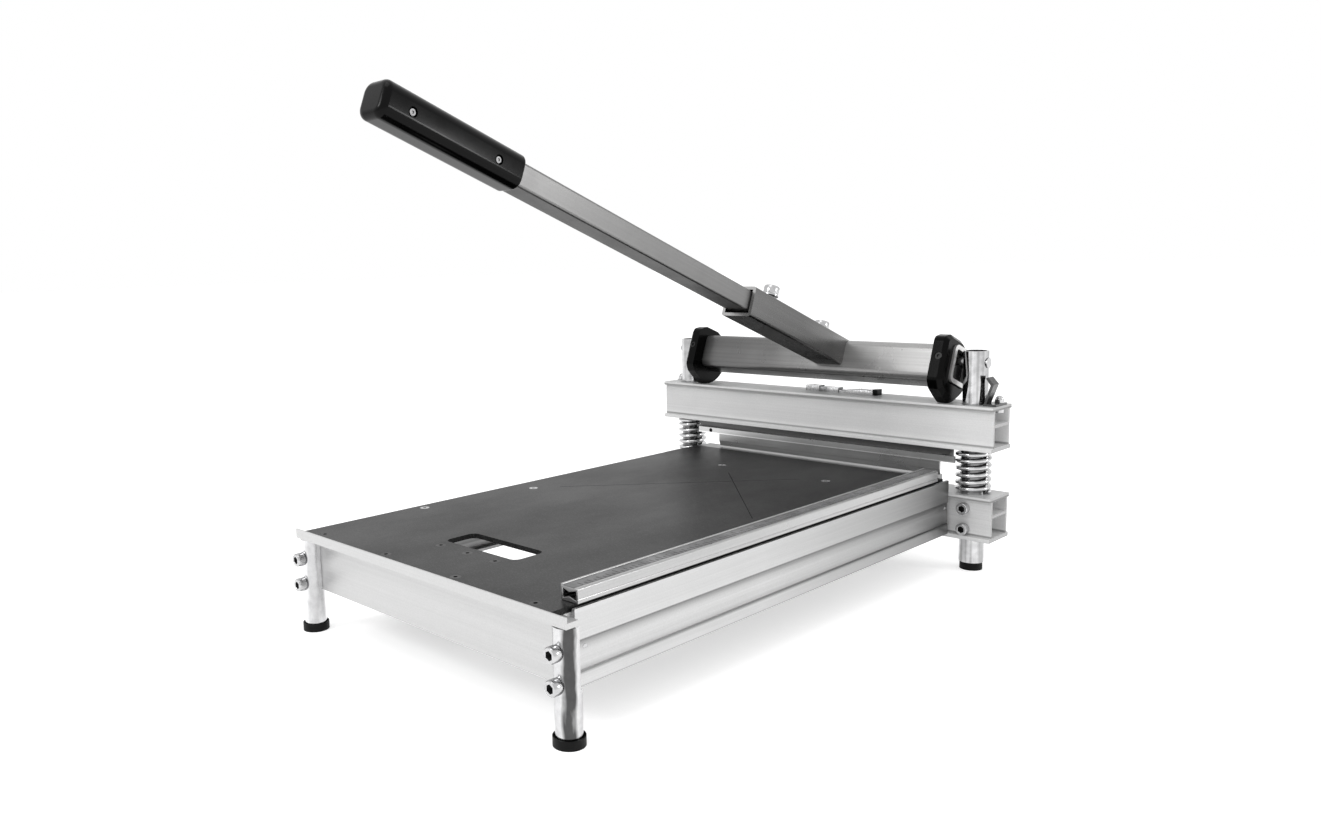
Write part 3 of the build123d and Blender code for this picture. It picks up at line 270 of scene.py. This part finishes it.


# Extruded or drawn metal: fine lines along one direction, soft die bands, cloudy tone, a fine
# grain; painted shade can be added on undersides and along its height or length
def drawn_metal(
    name, tone, rough, along, turn=(0, 0, 0), contrast=0.05, spread=0.05, depth=0.12, band=0.04,
    warm=1.0, underside_shade=0.0, metal=1.0, sawn=1.0, painted_shades=(),
):
    mat, tree, bsdf = shader(name)
    lines = noise(tree, coords(tree, drawn_out(along, 520.0, 4.0), turn), 1.0, 4, 0.65)
    bands = noise(tree, coords(tree, drawn_out(along, 70.0, 1.2), turn), 1.0, 2, 0.5)
    clouds = noise(tree, coords(tree, (1, 1, 1), turn), 26.0, 3, 0.55)
    grain = noise(tree, coords(tree, (1, 1, 1), turn), 900.0, 2, 0.6)
    tint = (warm, 1.0, 1.0 / warm)
    low = tuple(tone * (1 - contrast) * c for c in tint)
    high = tuple(tone * (1 + contrast) * c for c in tint)
    base = ramp(tree, lines, ((0.32, low), (0.68, high)))
    banded = ramp(tree, bands, ((0.32, 1 - band), (0.68, 1.0)))
    cloudy = ramp(tree, clouds, ((0.3, 0.95), (0.7, 1.0)))
    grainy = ramp(tree, grain, ((0.3, 0.92), (0.7, 1.0)))
    toned = multiplied(tree, base, banded, cloudy, grainy)
    # Painted shade on the undersides, which also darkens their grazing reflections through the
    # specular tint
    if underside_shade:
        underside_dark = painted_underside_shade(tree, underside_shade)
        toned = multiplied(tree, toned, underside_dark)
        tree.links.new(underside_dark, bsdf.inputs["Specular Tint"])
    if sawn != 1:
        toned = multiplied(tree, toned, sawn_end(tree, along, sawn))
    # Painted shade along the piece's height or length
    toned = multiplied(tree, toned, *(painted_shade_along(tree, *place) for place in painted_shades))
    roughness = span(tree, clouds, 0.3, 0.7, rough - spread, rough + spread)
    tree.links.new(toned, bsdf.inputs["Base Color"])
    tree.links.new(roughness, bsdf.inputs["Roughness"])
    bsdf.inputs["Metallic"].default_value = metal
    bump(tree, bsdf, lines, depth, 0.0001)
    return mat


# Plated metal: bright, faintly cloudy, with small pits; a drawn tube can carry soft dark streaks,
# which are painted reflections
def plated_metal(
    name, tone, rough, cloud_scale=60.0, cloud=0.12, spread=0.05, depth=0.06, reflection_streak=0.0,
    band=None, painted_shades=(),
):
    mat, tree, bsdf = shader(name)
    clouds = noise(tree, coords(tree), cloud_scale, 4, 0.6)
    fine = noise(tree, coords(tree), 700.0, 2, 0.5)
    high = (tone, tone, tone * 1.01)
    low = tuple(part * (1 - cloud) for part in high)
    color = ramp(tree, clouds, ((0.35, low), (0.65, high)))
    # Painted reflections: soft dark streaks along the tube
    if reflection_streak:
        bands = noise(tree, coords(tree, drawn_out("Z", 190, 3.0)), 1.0, 1, 0.5)
        color = multiplied(tree, color, ramp(tree, bands, ((0.4, 1 - reflection_streak), (0.54, 1.0))))
    # Painted reflection: a soft dark band down one side
    if band:
        color = multiplied(tree, color, painted_reflection_band(tree, *band))
    # Painted shade along the piece's height or length
    color = multiplied(tree, color, *(painted_shade_along(tree, *place) for place in painted_shades))
    roughness = span(tree, clouds, 0.35, 0.65, rough + spread, rough - spread)
    tree.links.new(color, bsdf.inputs["Base Color"])
    tree.links.new(roughness, bsdf.inputs["Roughness"])
    bsdf.inputs["Metallic"].default_value = 1.0
    bump(tree, bsdf, fine, depth, 0.0001)
    return mat


# Moulded plastic or rubber: fine grain, faint scuffs
def moulded(name, color, rough, grain=900.0, depth=0.2, spread=0.07, specular=0.5, dome=None):
    mat, tree, bsdf = shader(name)
    grains = noise(tree, coords(tree), grain, 3, 0.6)
    scuffs = noise(tree, coords(tree), 38.0, 5, 0.62)
    low = tuple(c * 0.7 for c in color)
    high = tuple(c * 1.3 for c in color)
    tree.links.new(ramp(tree, scuffs, ((0.35, low), (0.7, high))), bsdf.inputs["Base Color"])
    roughness = span(tree, scuffs, 0.3, 0.7, rough + spread, rough - spread)
    tree.links.new(roughness, bsdf.inputs["Roughness"])
    bsdf.inputs["Specular IOR Level"].default_value = specular
    fine = bump(tree, bsdf, grains, depth, 0.0001)
    if dome:
        bump(tree, fine, domed(tree, *dome), 1.0, 1.0)
    return mat


# Speckled black phenolic board with rubbed patches, and painted shade darker towards the rear
def board_material():
    mat, tree, bsdf = shader("board_black")
    speck = noise(tree, coords(tree), 620.0, 3, 0.75)
    blotch = noise(tree, coords(tree), 170.0, 3, 0.6)
    wear = noise(tree, coords(tree, (1, 0.5, 1)), 11.0, 4, 0.6)
    dots = ramp(tree, speck, ((0.3, 0.004), (0.5, 0.015), (0.7, (0.06, 0.06, 0.061))))
    patches = ramp(tree, blotch, ((0.33, 0.6), (0.68, 1.0)))
    worn = ramp(tree, wear, ((0.3, 0.8), (0.7, 1.0)))
    # Painted shade: darker towards the rear
    length = painted_shade_along(tree, "table_board", "Y", BOARD_REAR_SHADE)
    toned = multiplied(tree, dots, patches, worn, length)
    tree.links.new(toned, bsdf.inputs["Base Color"])
    tree.links.new(span(tree, wear, 0.3, 0.7, 0.42, 0.32), bsdf.inputs["Roughness"])
    bsdf.inputs["Specular IOR Level"].default_value = 0.15
    bump(tree, bsdf, speck, 0.3, 0.0002)
    return mat


# Painted shade over a piece's height or length, as pairs of share and tone; on the beams, dark
# lines under the flanges and darker edges
BEAM_HEIGHT_SHADE = (
    (0.0, 0.8), (0.02, 1.0), (0.085, 0.97), (0.11, 0.4), (0.13, 0.4), (0.155, 0.97), (0.18, 1.0),
    (0.22, 0.93), (0.9, 0.93), (0.92, 0.4), (0.94, 0.4), (0.96, 0.97), (0.99, 1.0), (1.0, 0.66),
)
POST_LOW, POST_HIGH = (corner[2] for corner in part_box("post_right"))
SPRING_FROM = (SPRING_LOW - POST_LOW) / (POST_HIGH - POST_LOW)
SPRING_TO = (SPRING_HIGH - POST_LOW) / (POST_HIGH - POST_LOW)
# Painted shade on the post where the spring surrounds it
POST_SPRING_SHADE = (
    (SPRING_FROM, 1.0), (SPRING_FROM + 0.01, 0.3), (SPRING_TO - 0.01, 0.3), (SPRING_TO, 1.0),
)
# Painted shadow of the upper beam's flange over the clamp bar, above its lighter lower edge
CLAMP_FLANGE_SHADOW = ((0.0, 1.0), (0.14, 1.0), (0.2, 0.6), (1.0, 0.66))
# Painted shade in the gap between the lock's block and lever, and at its ends
LOCK_LENGTH_SHADE = (
    (0.0, 0.4), (0.02, 0.9), (0.4, 0.8), (0.43, 0.15), (0.46, 0.5), (0.6, 0.4), (0.75, 1.0),
    (0.97, 1.0), (1.0, 0.2),
)
# Painted shade along lengths: the board darker towards the rear, the beam and cross tube towards
# the left, the rail towards the rear, the sleeve lighter only at one end
BOARD_REAR_SHADE = ((0.0, 0.95), (0.5, 1.0), (1.0, 0.25))
BEAM_LENGTH_SHADE = ((0.0, 0.82), (0.5, 0.94), (0.9, 1.0))
TUBE_LENGTH_SHADE = ((0.0, 0.3), (0.35, 0.45), (0.65, 0.9), (0.9, 1.0))
RAIL_LENGTH_SHADE = ((0.0, 1.0), (0.4, 0.92), (0.65, 0.68), (0.85, 0.5), (1.0, 0.42))
SLEEVE_LENGTH_SHADE = ((0.0, 0.48), (0.5, 0.4), (0.8, 0.55), (1.0, 1.0))
# Painted shade on the rail's outer face: dark lines under its steps, and darker edges
RAIL_HEIGHT_SHADE = (
    (0.0, 0.7), (0.03, 1.0), (0.15, 0.95), (0.18, 0.55), (0.22, 0.72), (0.29, 0.95), (0.42, 0.97),
    (0.5, 0.8), (0.57, 0.42), (0.595, 0.4), (0.61, 0.97), (0.66, 0.97), (0.94, 0.97), (0.97, 1.0),
)
GRIP_MIDDLE, GRIP_CURVE = 0.311, 1.6

MATERIALS = {
    # Beams: painted shade lines under the flanges, and the upper beam darker towards the left
    "beam_up": drawn_metal(
        "beam_aluminium", 0.97, 0.38, "X", contrast=0.03, metal=0.0, sawn=0.5,
        painted_shades=(("upper_beam", "Z", BEAM_HEIGHT_SHADE), ("upper_beam", "X", BEAM_LENGTH_SHADE)),
    ),
    "beam_low": drawn_metal(
        "beam_aluminium_low", 0.9, 0.38, "X", contrast=0.05, metal=0.2, sawn=0.5,
        painted_shades=(("lower_beam", "Z", BEAM_HEIGHT_SHADE),),
    ),
    "anvil": drawn_metal("anvil_aluminium", 0.3, 0.34, "X"),
    # Rail: painted shade lines on its face, and darker towards the rear
    "rail": drawn_metal(
        "rail_aluminium", 0.64, 0.36, "Y", metal=0.85,
        painted_shades=(("rail_right", "Z", RAIL_HEIGHT_SHADE), ("rail_right", "Y", RAIL_LENGTH_SHADE)),
    ),
    "front": drawn_metal("front_aluminium", 0.6, 0.4, "X", contrast=0.03, metal=0.85),
    "fence": drawn_metal("fence_aluminium", 0.48, 0.32, "Y"),
    "cleat": drawn_metal("cleat_aluminium", 0.45, 0.42, "X"),
    # Clamp bar: painted shadow of the beam's flange over its upper part
    "clamp": drawn_metal(
        "clamp_aluminium", 0.85, 0.3, "X", painted_shades=(("blade_clamp", "Z", CLAMP_FLANGE_SHADOW),),
    ),
    # Tubes: painted shade on their undersides, and painted shade along the cross tube and the
    # sleeve
    "tube_x": drawn_metal(
        "cross_tube_steel", 0.42, 0.3, "X", contrast=0.1, band=0.2, warm=1.006, underside_shade=0.65,
        metal=0.6, sawn=2.0, painted_shades=(("cross_tube", "X", TUBE_LENGTH_SHADE),),
    ),
    "sleeve": drawn_metal(
        "sleeve_steel", 0.36, 0.27, "Y", TILT, contrast=0.06, band=0.12, warm=1.006, underside_shade=0.5,
        sawn=2.6, painted_shades=(("sleeve", "Y", SLEEVE_LENGTH_SHADE),),
    ),
    "handle": drawn_metal(
        "handle_steel", 0.22, 0.36, "Y", TILT, contrast=0.06, band=0.08, warm=1.006, underside_shade=0.4,
        metal=0.8,
    ),
    "blade": drawn_metal("blade_steel", 0.4, 0.3, "X", contrast=0.12),
    # Blade holder: painted shade, darkened to stand in for the shadow under the beam's flange
    "holder": drawn_metal("holder_dark", 0.11, 0.4, "X"),
    # Legs: lit and shaded copies of one zinc finish; the right is painted darker than the left, and
    # each carries a painted dark reflection band
    "leg_right": plated_metal(
        "leg_zinc", 0.64, 0.2, 160.0, 0.12, band=("front_leg_right", (0.79, -0.61), 0.88),
    ),
    "leg_left": plated_metal(
        "leg_zinc_left", 0.76, 0.2, 160.0, 0.12, band=("front_leg_left", (0.82, -0.57), 0.3),
    ),
    # Posts: painted reflection streaks, and painted shade where the spring surrounds them
    "post": plated_metal(
        "post_chrome", 0.64, 0.14, 110.0, 0.2, reflection_streak=0.35,
        painted_shades=(("post_right", "Z", POST_SPRING_SHADE),),
    ),
    "grip_screw": plated_metal("grip_screw_zinc", 0.22, 0.4),
    "nut": plated_metal("nut_chrome", 0.5, 0.12, 90.0, 0.1),
    "bolt": plated_metal("bolt_zinc", 0.55, 0.2, 240.0, 0.15),
    "spring": plated_metal("spring_chrome", 0.6, 0.1, 200.0, 0.1),
    "hook": plated_metal("hook_steel", 0.1, 0.24, 200.0, 0.2),
    # Lock: painted shade in its gap and at its ends
    "lock": plated_metal(
        "lock_zinc", 0.75, 0.2, 420.0, 0.5, painted_shades=(("lock_base", "X", LOCK_LENGTH_SHADE),),
    ),
    "lock_bright": plated_metal("lock_lever_zinc", 0.85, 0.18, 420.0, 0.4),
    "bush": plated_metal("bush_bronze", 0.3, 0.35),
    "socket": moulded("socket_dark", (0.008, 0.008, 0.008), 0.5, specular=0.15),
    "dark_screw": moulded("screw_black", (0.012, 0.012, 0.012), 0.35, specular=0.25),
    "cap": moulded("cap_black", (0.0012, 0.0012, 0.0012), 0.22, 700.0, 0.2, specular=0.08),
    "grip": moulded(
        "grip_black", (0.0008, 0.0008, 0.0008), 0.17, 800.0, 0.1, spread=0.03, specular=0.12,
        dome=(GRIP_MIDDLE, GRIP_CURVE),
    ),
    "rubber": moulded("foot_rubber", (0.006, 0.006, 0.006), 0.5, 600.0, 0.3, specular=0.12),
    "scale": moulded("scale_grey", (0.16, 0.16, 0.162), 0.5, specular=0.3),
    "mark": moulded("scale_mark", (0.006, 0.006, 0.006), 0.6, specular=0.05),
    "board": board_material(),
}

NODE_MATERIALS = {
    "beam_low": ("lower_beam",),
    "beam_up": ("upper_beam",),
    "anvil": ("anvil_bar",),
    "rail": ("rail_left", "rail_right"),
    "front": ("front_rail",),
    "fence": ("fence",),
    "cleat": ("rear_cleat", "left_cleat", "corner_blocks"),
    "tube_x": ("cross_tube",),
    "sleeve": ("sleeve",),
    "handle": ("handle_tube",),
    "blade": ("blade",),
    "clamp": ("blade_clamp",),
    "holder": ("blade_holder",),
    "leg_left": ("front_leg_left",),
    "leg_right": ("front_leg_right",),
    "post": ("post_left", "post_right"),
    "nut": ("acorn_nuts",),
    "bolt": (
        "leg_screws", "post_screws", "corner_screws", "pivot_bolts", "anvil_screws",
        "board_screws_bright", "fence_pivot", "holder_screws", "acorn_bolts", "acorn_washer",
        "clamp_screws", "clamp_washers",
    ),
    "grip_screw": ("grip_screws",),
    "spring": ("spring_left", "spring_right"),
    "hook": ("lock_hook",),
    "lock": ("lock_base", "lock_screw"),
    "lock_bright": ("lock_lever",),
    "bush": ("guide_bushes",),
    "dark_screw": ("board_screws_dark", "cap_screws", "blade_screws"),
    "cap": ("cap_left", "cap_right", "lock_tip", "pivot_blocks"),
    "grip": ("grip",),
    "rubber": ("leg_boots", "post_plugs"),
    "scale": ("fence_scale",),
    "board": ("table_board", "slot_frame"),
}
EDGE_WIDTH = 0.0004
SOFT_EDGED = (
    "lower_beam", "upper_beam", "rail_left", "rail_right", "front_rail", "fence", "anvil_bar",
    "blade_holder",
)


# Real edges are broken by a small radius, which catches the light
def soften(item):
    weld = item.modifiers.new("weld", "WELD")
    weld.merge_threshold = 0.000004
    edge = item.modifiers.new("edge", "BEVEL")
    edge.width = EDGE_WIDTH
    edge.segments = 2
    edge.limit_method = "ANGLE"
    edge.angle_limit = math.radians(35.0)
    edge.harden_normals = False


def dress_nodes():
    for kind, names in NODE_MATERIALS.items():
        for name in names:
            NODES[name].data.materials.clear()
            NODES[name].data.materials.append(MATERIALS[kind])
    for name in SOFT_EDGED:
        soften(NODES[name])


def mesh_from(build, name):
    mesh = bpy.data.meshes.new(name)
    build.to_mesh(mesh)
    build.free()
    return mesh


# A closed skin over rings of vertices, with a face at each end
def skin(build, rings):
    sides = len(rings[0])
    for first, second in zip(rings, rings[1:]):
        for step in range(sides):
            after = (step + 1) % sides
            build.faces.new((first[step], first[after], second[after], second[step]))
    build.faces.new(list(reversed(rings[0])))
    build.faces.new(rings[-1])
    bmesh.ops.recalc_face_normals(build, faces=build.faces)


def added(name, mesh, material, body, smooth=True):
    item = placed(name, mesh)
    mesh.materials.append(MATERIALS[material])
    for face in mesh.polygons:
        face.use_smooth = smooth
    if body:
        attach(item, body)
    return item


# The separate solids of a CAD node, each as its lowest and highest corner in the given frame
def solid_boxes(node, place=Matrix()):
    build = bmesh.new()
    build.from_mesh(NODES[node].data)
    bmesh.ops.remove_doubles(build, verts=build.verts, dist=0.00001)
    build.verts.ensure_lookup_table()
    into = place.inverted()
    boxes = []
    for seed in build.verts:
        if seed.tag:
            continue
        seed.tag = True
        waiting, points = [seed], []
        while waiting:
            vert = waiting.pop()
            points.append(into @ vert.co)
            for edge in vert.link_edges:
                other = edge.other_vert(vert)
                if not other.tag:
                    other.tag = True
                    waiting.append(other)
        low = Vector(min(p[axis] for p in points) for axis in range(3))
        high = Vector(max(p[axis] for p in points) for axis in range(3))
        boxes.append((low, high))
    build.free()
    return sorted(boxes, key=lambda box: [round(v, 4) for v in box[0]])


def hex_radius(angle, flats):
    part = (angle + math.pi / 6) % (math.pi / 3) - math.pi / 6
    return flats / 2 / math.cos(part)


# Cap screw with a knurled head, its seat at height 0 and its shank below
def cap_screw(build, place, head, height, shank, length, flats, teeth=30, knurl=0.00022):
    sides = teeth * 2
    chamfer = 0.0005
    grooved = [head - (knurl if step % 2 else 0) for step in range(sides)]
    plain = [head - knurl] * sides
    socket = [hex_radius(math.tau * step / sides, flats) for step in range(sides)]
    rows = [
        ([shank * 0.8] * sides, -length),
        ([shank] * sides, -length + shank * 0.2),
        ([shank] * sides, 0),
        ([head - chamfer] * sides, 0),
        (plain, chamfer * 0.6),
        (grooved, chamfer),
        (grooved, height - chamfer * 2),
        (plain, height - chamfer * 1.6),
        ([head - chamfer * 1.6] * sides, height),
        ([r + 0.0003 for r in socket], height),
        (socket, height - 0.0003),
        (socket, height * 0.45),
    ]
    rings = []
    for radii, level in rows:
        ring = []
        for step, radius in enumerate(radii):
            angle = math.tau * step / sides
            point = Vector((radius * math.cos(angle), radius * math.sin(angle), level))
            ring.append(build.verts.new(place @ point))
        rings.append(ring)
    for index, (first, second) in enumerate(zip(rings, rings[1:])):
        for step in range(sides):
            after = (step + 1) % sides
            face = build.faces.new((first[step], first[after], second[after], second[step]))
            face.smooth = index not in (2, 7, 8)
            face.material_index = 1 if index >= 10 else 0
    build.faces.new(list(reversed(rings[0])))
    build.faces.new(rings[-1]).material_index = 1


# One piece with all the cap screws of a CAD node: out is the way that the heads point
def screw_piece(node, body, slot, out, height, shank, flats, place=Matrix()):
    build = bmesh.new()
    out = Vector(out)
    axis = max(range(3), key=lambda index: abs(out[index]))
    across = [index for index in range(3) if index != axis]
    for low, high in solid_boxes(node, place):
        middle = (low + high) / 2
        head = max(high[index] - low[index] for index in across) / 2
        seat = middle.copy()
        seat[axis] = (high if out[axis] > 0 else low)[axis] - out[axis] * height
        turn = out.to_track_quat("Z", "Y").to_matrix().to_4x4()
        length = high[axis] - low[axis] - height
        seated = place @ Matrix.Translation(seat) @ turn
        cap_screw(build, seated, head, height, shank, length, flats)
    bmesh.ops.recalc_face_normals(build, faces=build.faces)
    mesh = mesh_from(build, node + "_knurled")
    item = placed(node + "_knurled", mesh)
    mesh.materials.append(MATERIALS["bolt"])
    mesh.materials.append(MATERIALS["socket"])
    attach(item, body)
    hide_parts(node)


def screws():
    screw_piece("leg_screws", "base", "bolt_zinc", (0, -1, 0), **M8)
    screw_piece("post_screws", "base", "bolt_zinc", (0, -1, 0), **M8)
    screw_piece("clamp_screws", "lever", "bolt_zinc", (0, 0, 1), **M10, place=LEVER)


# A closed block with its long side along a line
def strip(build, start, end, width, low, high):
    ahead = (end - start).normalized()
    side = Vector((-ahead.y, ahead.x, 0)) * width / 2
    ring = [start - side, end - side, end + side, start + side]
    bottom = [build.verts.new((p.x, p.y, low)) for p in ring]
    top = [build.verts.new((p.x, p.y, high)) for p in ring]
    build.faces.new(list(reversed(bottom)))
    build.faces.new(top)
    for step in range(4):
        after = (step + 1) % 4
        build.faces.new((bottom[step], bottom[after], top[after], top[step]))


# Dark scale marks on the fence's band, every 5 mm, longer at 10 and 50 mm
def scale_marks():
    low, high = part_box("fence_scale")
    build = bmesh.new()
    for index in range(int((high[1] - low[1] - 0.004) / MARK_PITCH)):
        reach = MARK_LONG if index % 10 == 0 else MARK_MIDDLE if index % 2 == 0 else MARK_SHORT
        start = Vector((high[0] - 0.0006, high[1] - 0.002 - index * MARK_PITCH, 0))
        end = start - Vector((reach, 0, 0))
        strip(build, start, end, 0.0004, high[2] - 0.0001, high[2] + 0.00006)
    mesh = mesh_from(build, "fence_marks")
    added("fence_marks", mesh, "mark", "fence", smooth=False)


# Painted shade: dark strips laid in the board's scribed lines, where their grooves are in shade
def scribed_line_shade():
    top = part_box("table_board")[1][2]
    build = bmesh.new()
    for x0, y0, x1, y1 in SCRIBED:
        start, end = Vector((x0, y0 + SHIFT_Y, 0)), Vector((x1, y1 + SHIFT_Y, 0))
        strip(build, start, end, 0.0008, top - 0.00033, top - 0.00005)
    mesh = mesh_from(build, "scribed_line_shade")
    added("scribed_line_shade", mesh, "mark", "base", smooth=False)


# Return springs: closed end turns, ground flat, stretched between the two beams
def spring_line(turns=6.5, low=0.089, high=0.1346, end_pitch=0.0049, per_turn=40):
    middle = high - low - 2 * end_pitch
    points = []
    count = int(turns * per_turn)
    for index in range(count + 1):
        turn = index / per_turn
        if turn < 1:
            rise = turn * end_pitch
        elif turn > turns - 1:
            rise = end_pitch + middle + (turn - turns + 1) * end_pitch
        else:
            rise = end_pitch + (turn - 1) / (turns - 2) * middle
        angle = turn * math.tau
        x, y = math.cos(angle) * COIL_RADIUS, math.sin(angle) * COIL_RADIUS
        points.append(Vector((x, y, low + rise)))
    return points


# Round wire along a line, with its top and bottom ground flat
def wire_mesh(name, points, radius, floor, ceiling, sides=14):
    build = bmesh.new()
    rings = []
    for index, point in enumerate(points):
        before = points[max(index - 1, 0)]
        after = points[min(index + 1, len(points) - 1)]
        ahead = (after - before).normalized()
        side = Vector((0, 0, 1)).cross(ahead).normalized()
        up = ahead.cross(side)
        ring = []
        for step in range(sides):
            angle = math.tau * step / sides
            place = point + side * math.cos(angle) * radius + up * math.sin(angle) * radius
            place.z = min(max(place.z, floor), ceiling)
            ring.append(build.verts.new(place))
        rings.append(ring)
    skin(build, rings)
    return mesh_from(build, name)


def springs():
    for side, node in ((1, "spring_right"), (-1, "spring_left")):
        points = spring_line()
        if side < 0:
            points = [Vector((-p.x, -p.y, p.z)) for p in points]
        points = [p + Vector((side * POST_X, POST_Y, 0)) for p in points]
        floor, ceiling = SPRING_LOW + 0.0001, SPRING_HIGH - 0.0001
        mesh = wire_mesh(node + "_coil", points, WIRE_RADIUS, floor, ceiling)
        item = added(node + "_coil", mesh, "spring", None)
        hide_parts(node)
        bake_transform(item)


# Lever of the lock bar: height over its length, steps along it, and the depth of its thumb ribs
LOCK_SHAPE = (
    (0.0, 0.0042), (0.12, 0.0036), (0.35, 0.0048), (0.6, 0.0062), (0.85, 0.0062), (1.0, 0.005),
)
LOCK_STEPS, LOCK_RIB, LOCK_EDGE = 66, 0.0005, 0.0006


# Height at one share of the length, eased between the points of a shape
def eased(shape, part):
    for (start, first), (end, second) in zip(shape, shape[1:]):
        if start <= part <= end:
            way = (1 - math.cos(math.pi * (part - start) / (end - start))) / 2
            height = first + (second - first) * way
    return height


def lock_handle():
    low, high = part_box("lock_lever")
    build = bmesh.new()
    rings = []
    for step in range(LOCK_STEPS + 1):
        part = step / LOCK_STEPS
        height = eased(LOCK_SHAPE, part)
        if 0.5 < part < 0.95 and step % 3 == 0:
            height -= LOCK_RIB
        x = low[0] + (high[0] - low[0]) * part
        top = low[2] + height
        ring = (
            (low[1], low[2]), (high[1], low[2]),
            (high[1], top - LOCK_EDGE), (high[1] - LOCK_EDGE, top),
            (low[1] + LOCK_EDGE, top), (low[1], top - LOCK_EDGE),
        )
        rings.append([build.verts.new((x, y, z)) for y, z in ring])
    skin(build, rings)
    mesh = mesh_from(build, "lock_lever_ribbed")
    item = added("lock_lever_ribbed", mesh, "lock_bright", "head", smooth=False)
    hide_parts("lock_lever")


# The given strength for camera, glossy and transmission rays, and none for the rest
def seen_directly(tree, strength):
    path = tree.nodes.new("ShaderNodeLightPath")
    value = path.outputs["Is Camera Ray"]
    for kind in ("Is Glossy Ray", "Is Transmission Ray"):
        value = counted(tree, "MAXIMUM", value, path.outputs[kind])
    return counted(tree, "MULTIPLY", value, strength)


# Plain pale floor, which also glows a little where it is seen
def pale_floor():
    mesh = bpy.data.meshes.new("floor")
    corners = [(-1, -1), (1, -1), (1, 1), (-1, 1)]
    places = [(x * FLOOR_HALF, y * FLOOR_HALF, 0) for x, y in corners]
    mesh.from_pydata(places, [], [(0, 1, 2, 3)])
    floor = placed("floor", mesh)
    mat, tree, bsdf = shader("floor_pale")
    bsdf.inputs["Base Color"].default_value = (FLOOR_GREY, FLOOR_GREY, FLOOR_GREY, 1)
    bsdf.inputs["Roughness"].default_value = 1.0
    bsdf.inputs["Specular IOR Level"].default_value = 0.0
    glow = tree.nodes.new("ShaderNodeEmission")
    tree.links.new(seen_directly(tree, FLOOR_GLOW), glow.inputs["Strength"])
    both = tree.nodes.new("ShaderNodeAddShader")
    out = next(node for node in tree.nodes if node.type == "OUTPUT_MATERIAL")
    tree.links.new(bsdf.outputs[0], both.inputs[0])
    tree.links.new(glow.outputs[0], both.inputs[1])
    tree.links.new(both.outputs[0], out.inputs[0])
    mesh.materials.append(mat)


# White world, as strong as the pale backdrop needs where it is seen, and weaker as a light
def white_world():
    world = bpy.data.worlds.new("studio")
    world.use_nodes = True
    bpy.context.scene.world = world
    tree = world.node_tree
    tree.nodes.clear()
    out = tree.nodes.new("ShaderNodeOutputWorld")
    lit, seen = (tree.nodes.new("ShaderNodeBackground") for _ in range(2))
    for shade, strength in ((lit, WORLD_LIT), (seen, WORLD_SEEN)):
        shade.inputs[0].default_value = (1, 1, 1, 1)
        shade.inputs[1].default_value = strength
    mix = tree.nodes.new("ShaderNodeMixShader")
    tree.links.new(seen_directly(tree, 1.0), mix.inputs[0])
    tree.links.new(lit.outputs[0], mix.inputs[1])
    tree.links.new(seen.outputs[0], mix.inputs[2])
    tree.links.new(mix.outputs[0], out.inputs[0])


def lamps():
    for name, place, size, power in LAMPS:
        data = bpy.data.lights.new(name, "AREA")
        data.size = size
        data.energy = power
        lamp = placed(name, data)
        lamp.location = place
        lamp.rotation_mode = "QUATERNION"
        lamp.rotation_quaternion = (LAMP_AIM - Vector(place)).to_track_quat("-Z", "Y")


bpy.context.scene.view_settings.view_transform = "Standard"
dress_nodes()
camera()
pale_floor()
white_world()
lamps()
springs()
screws()
scale_marks()
scribed_line_shade()
lock_handle()
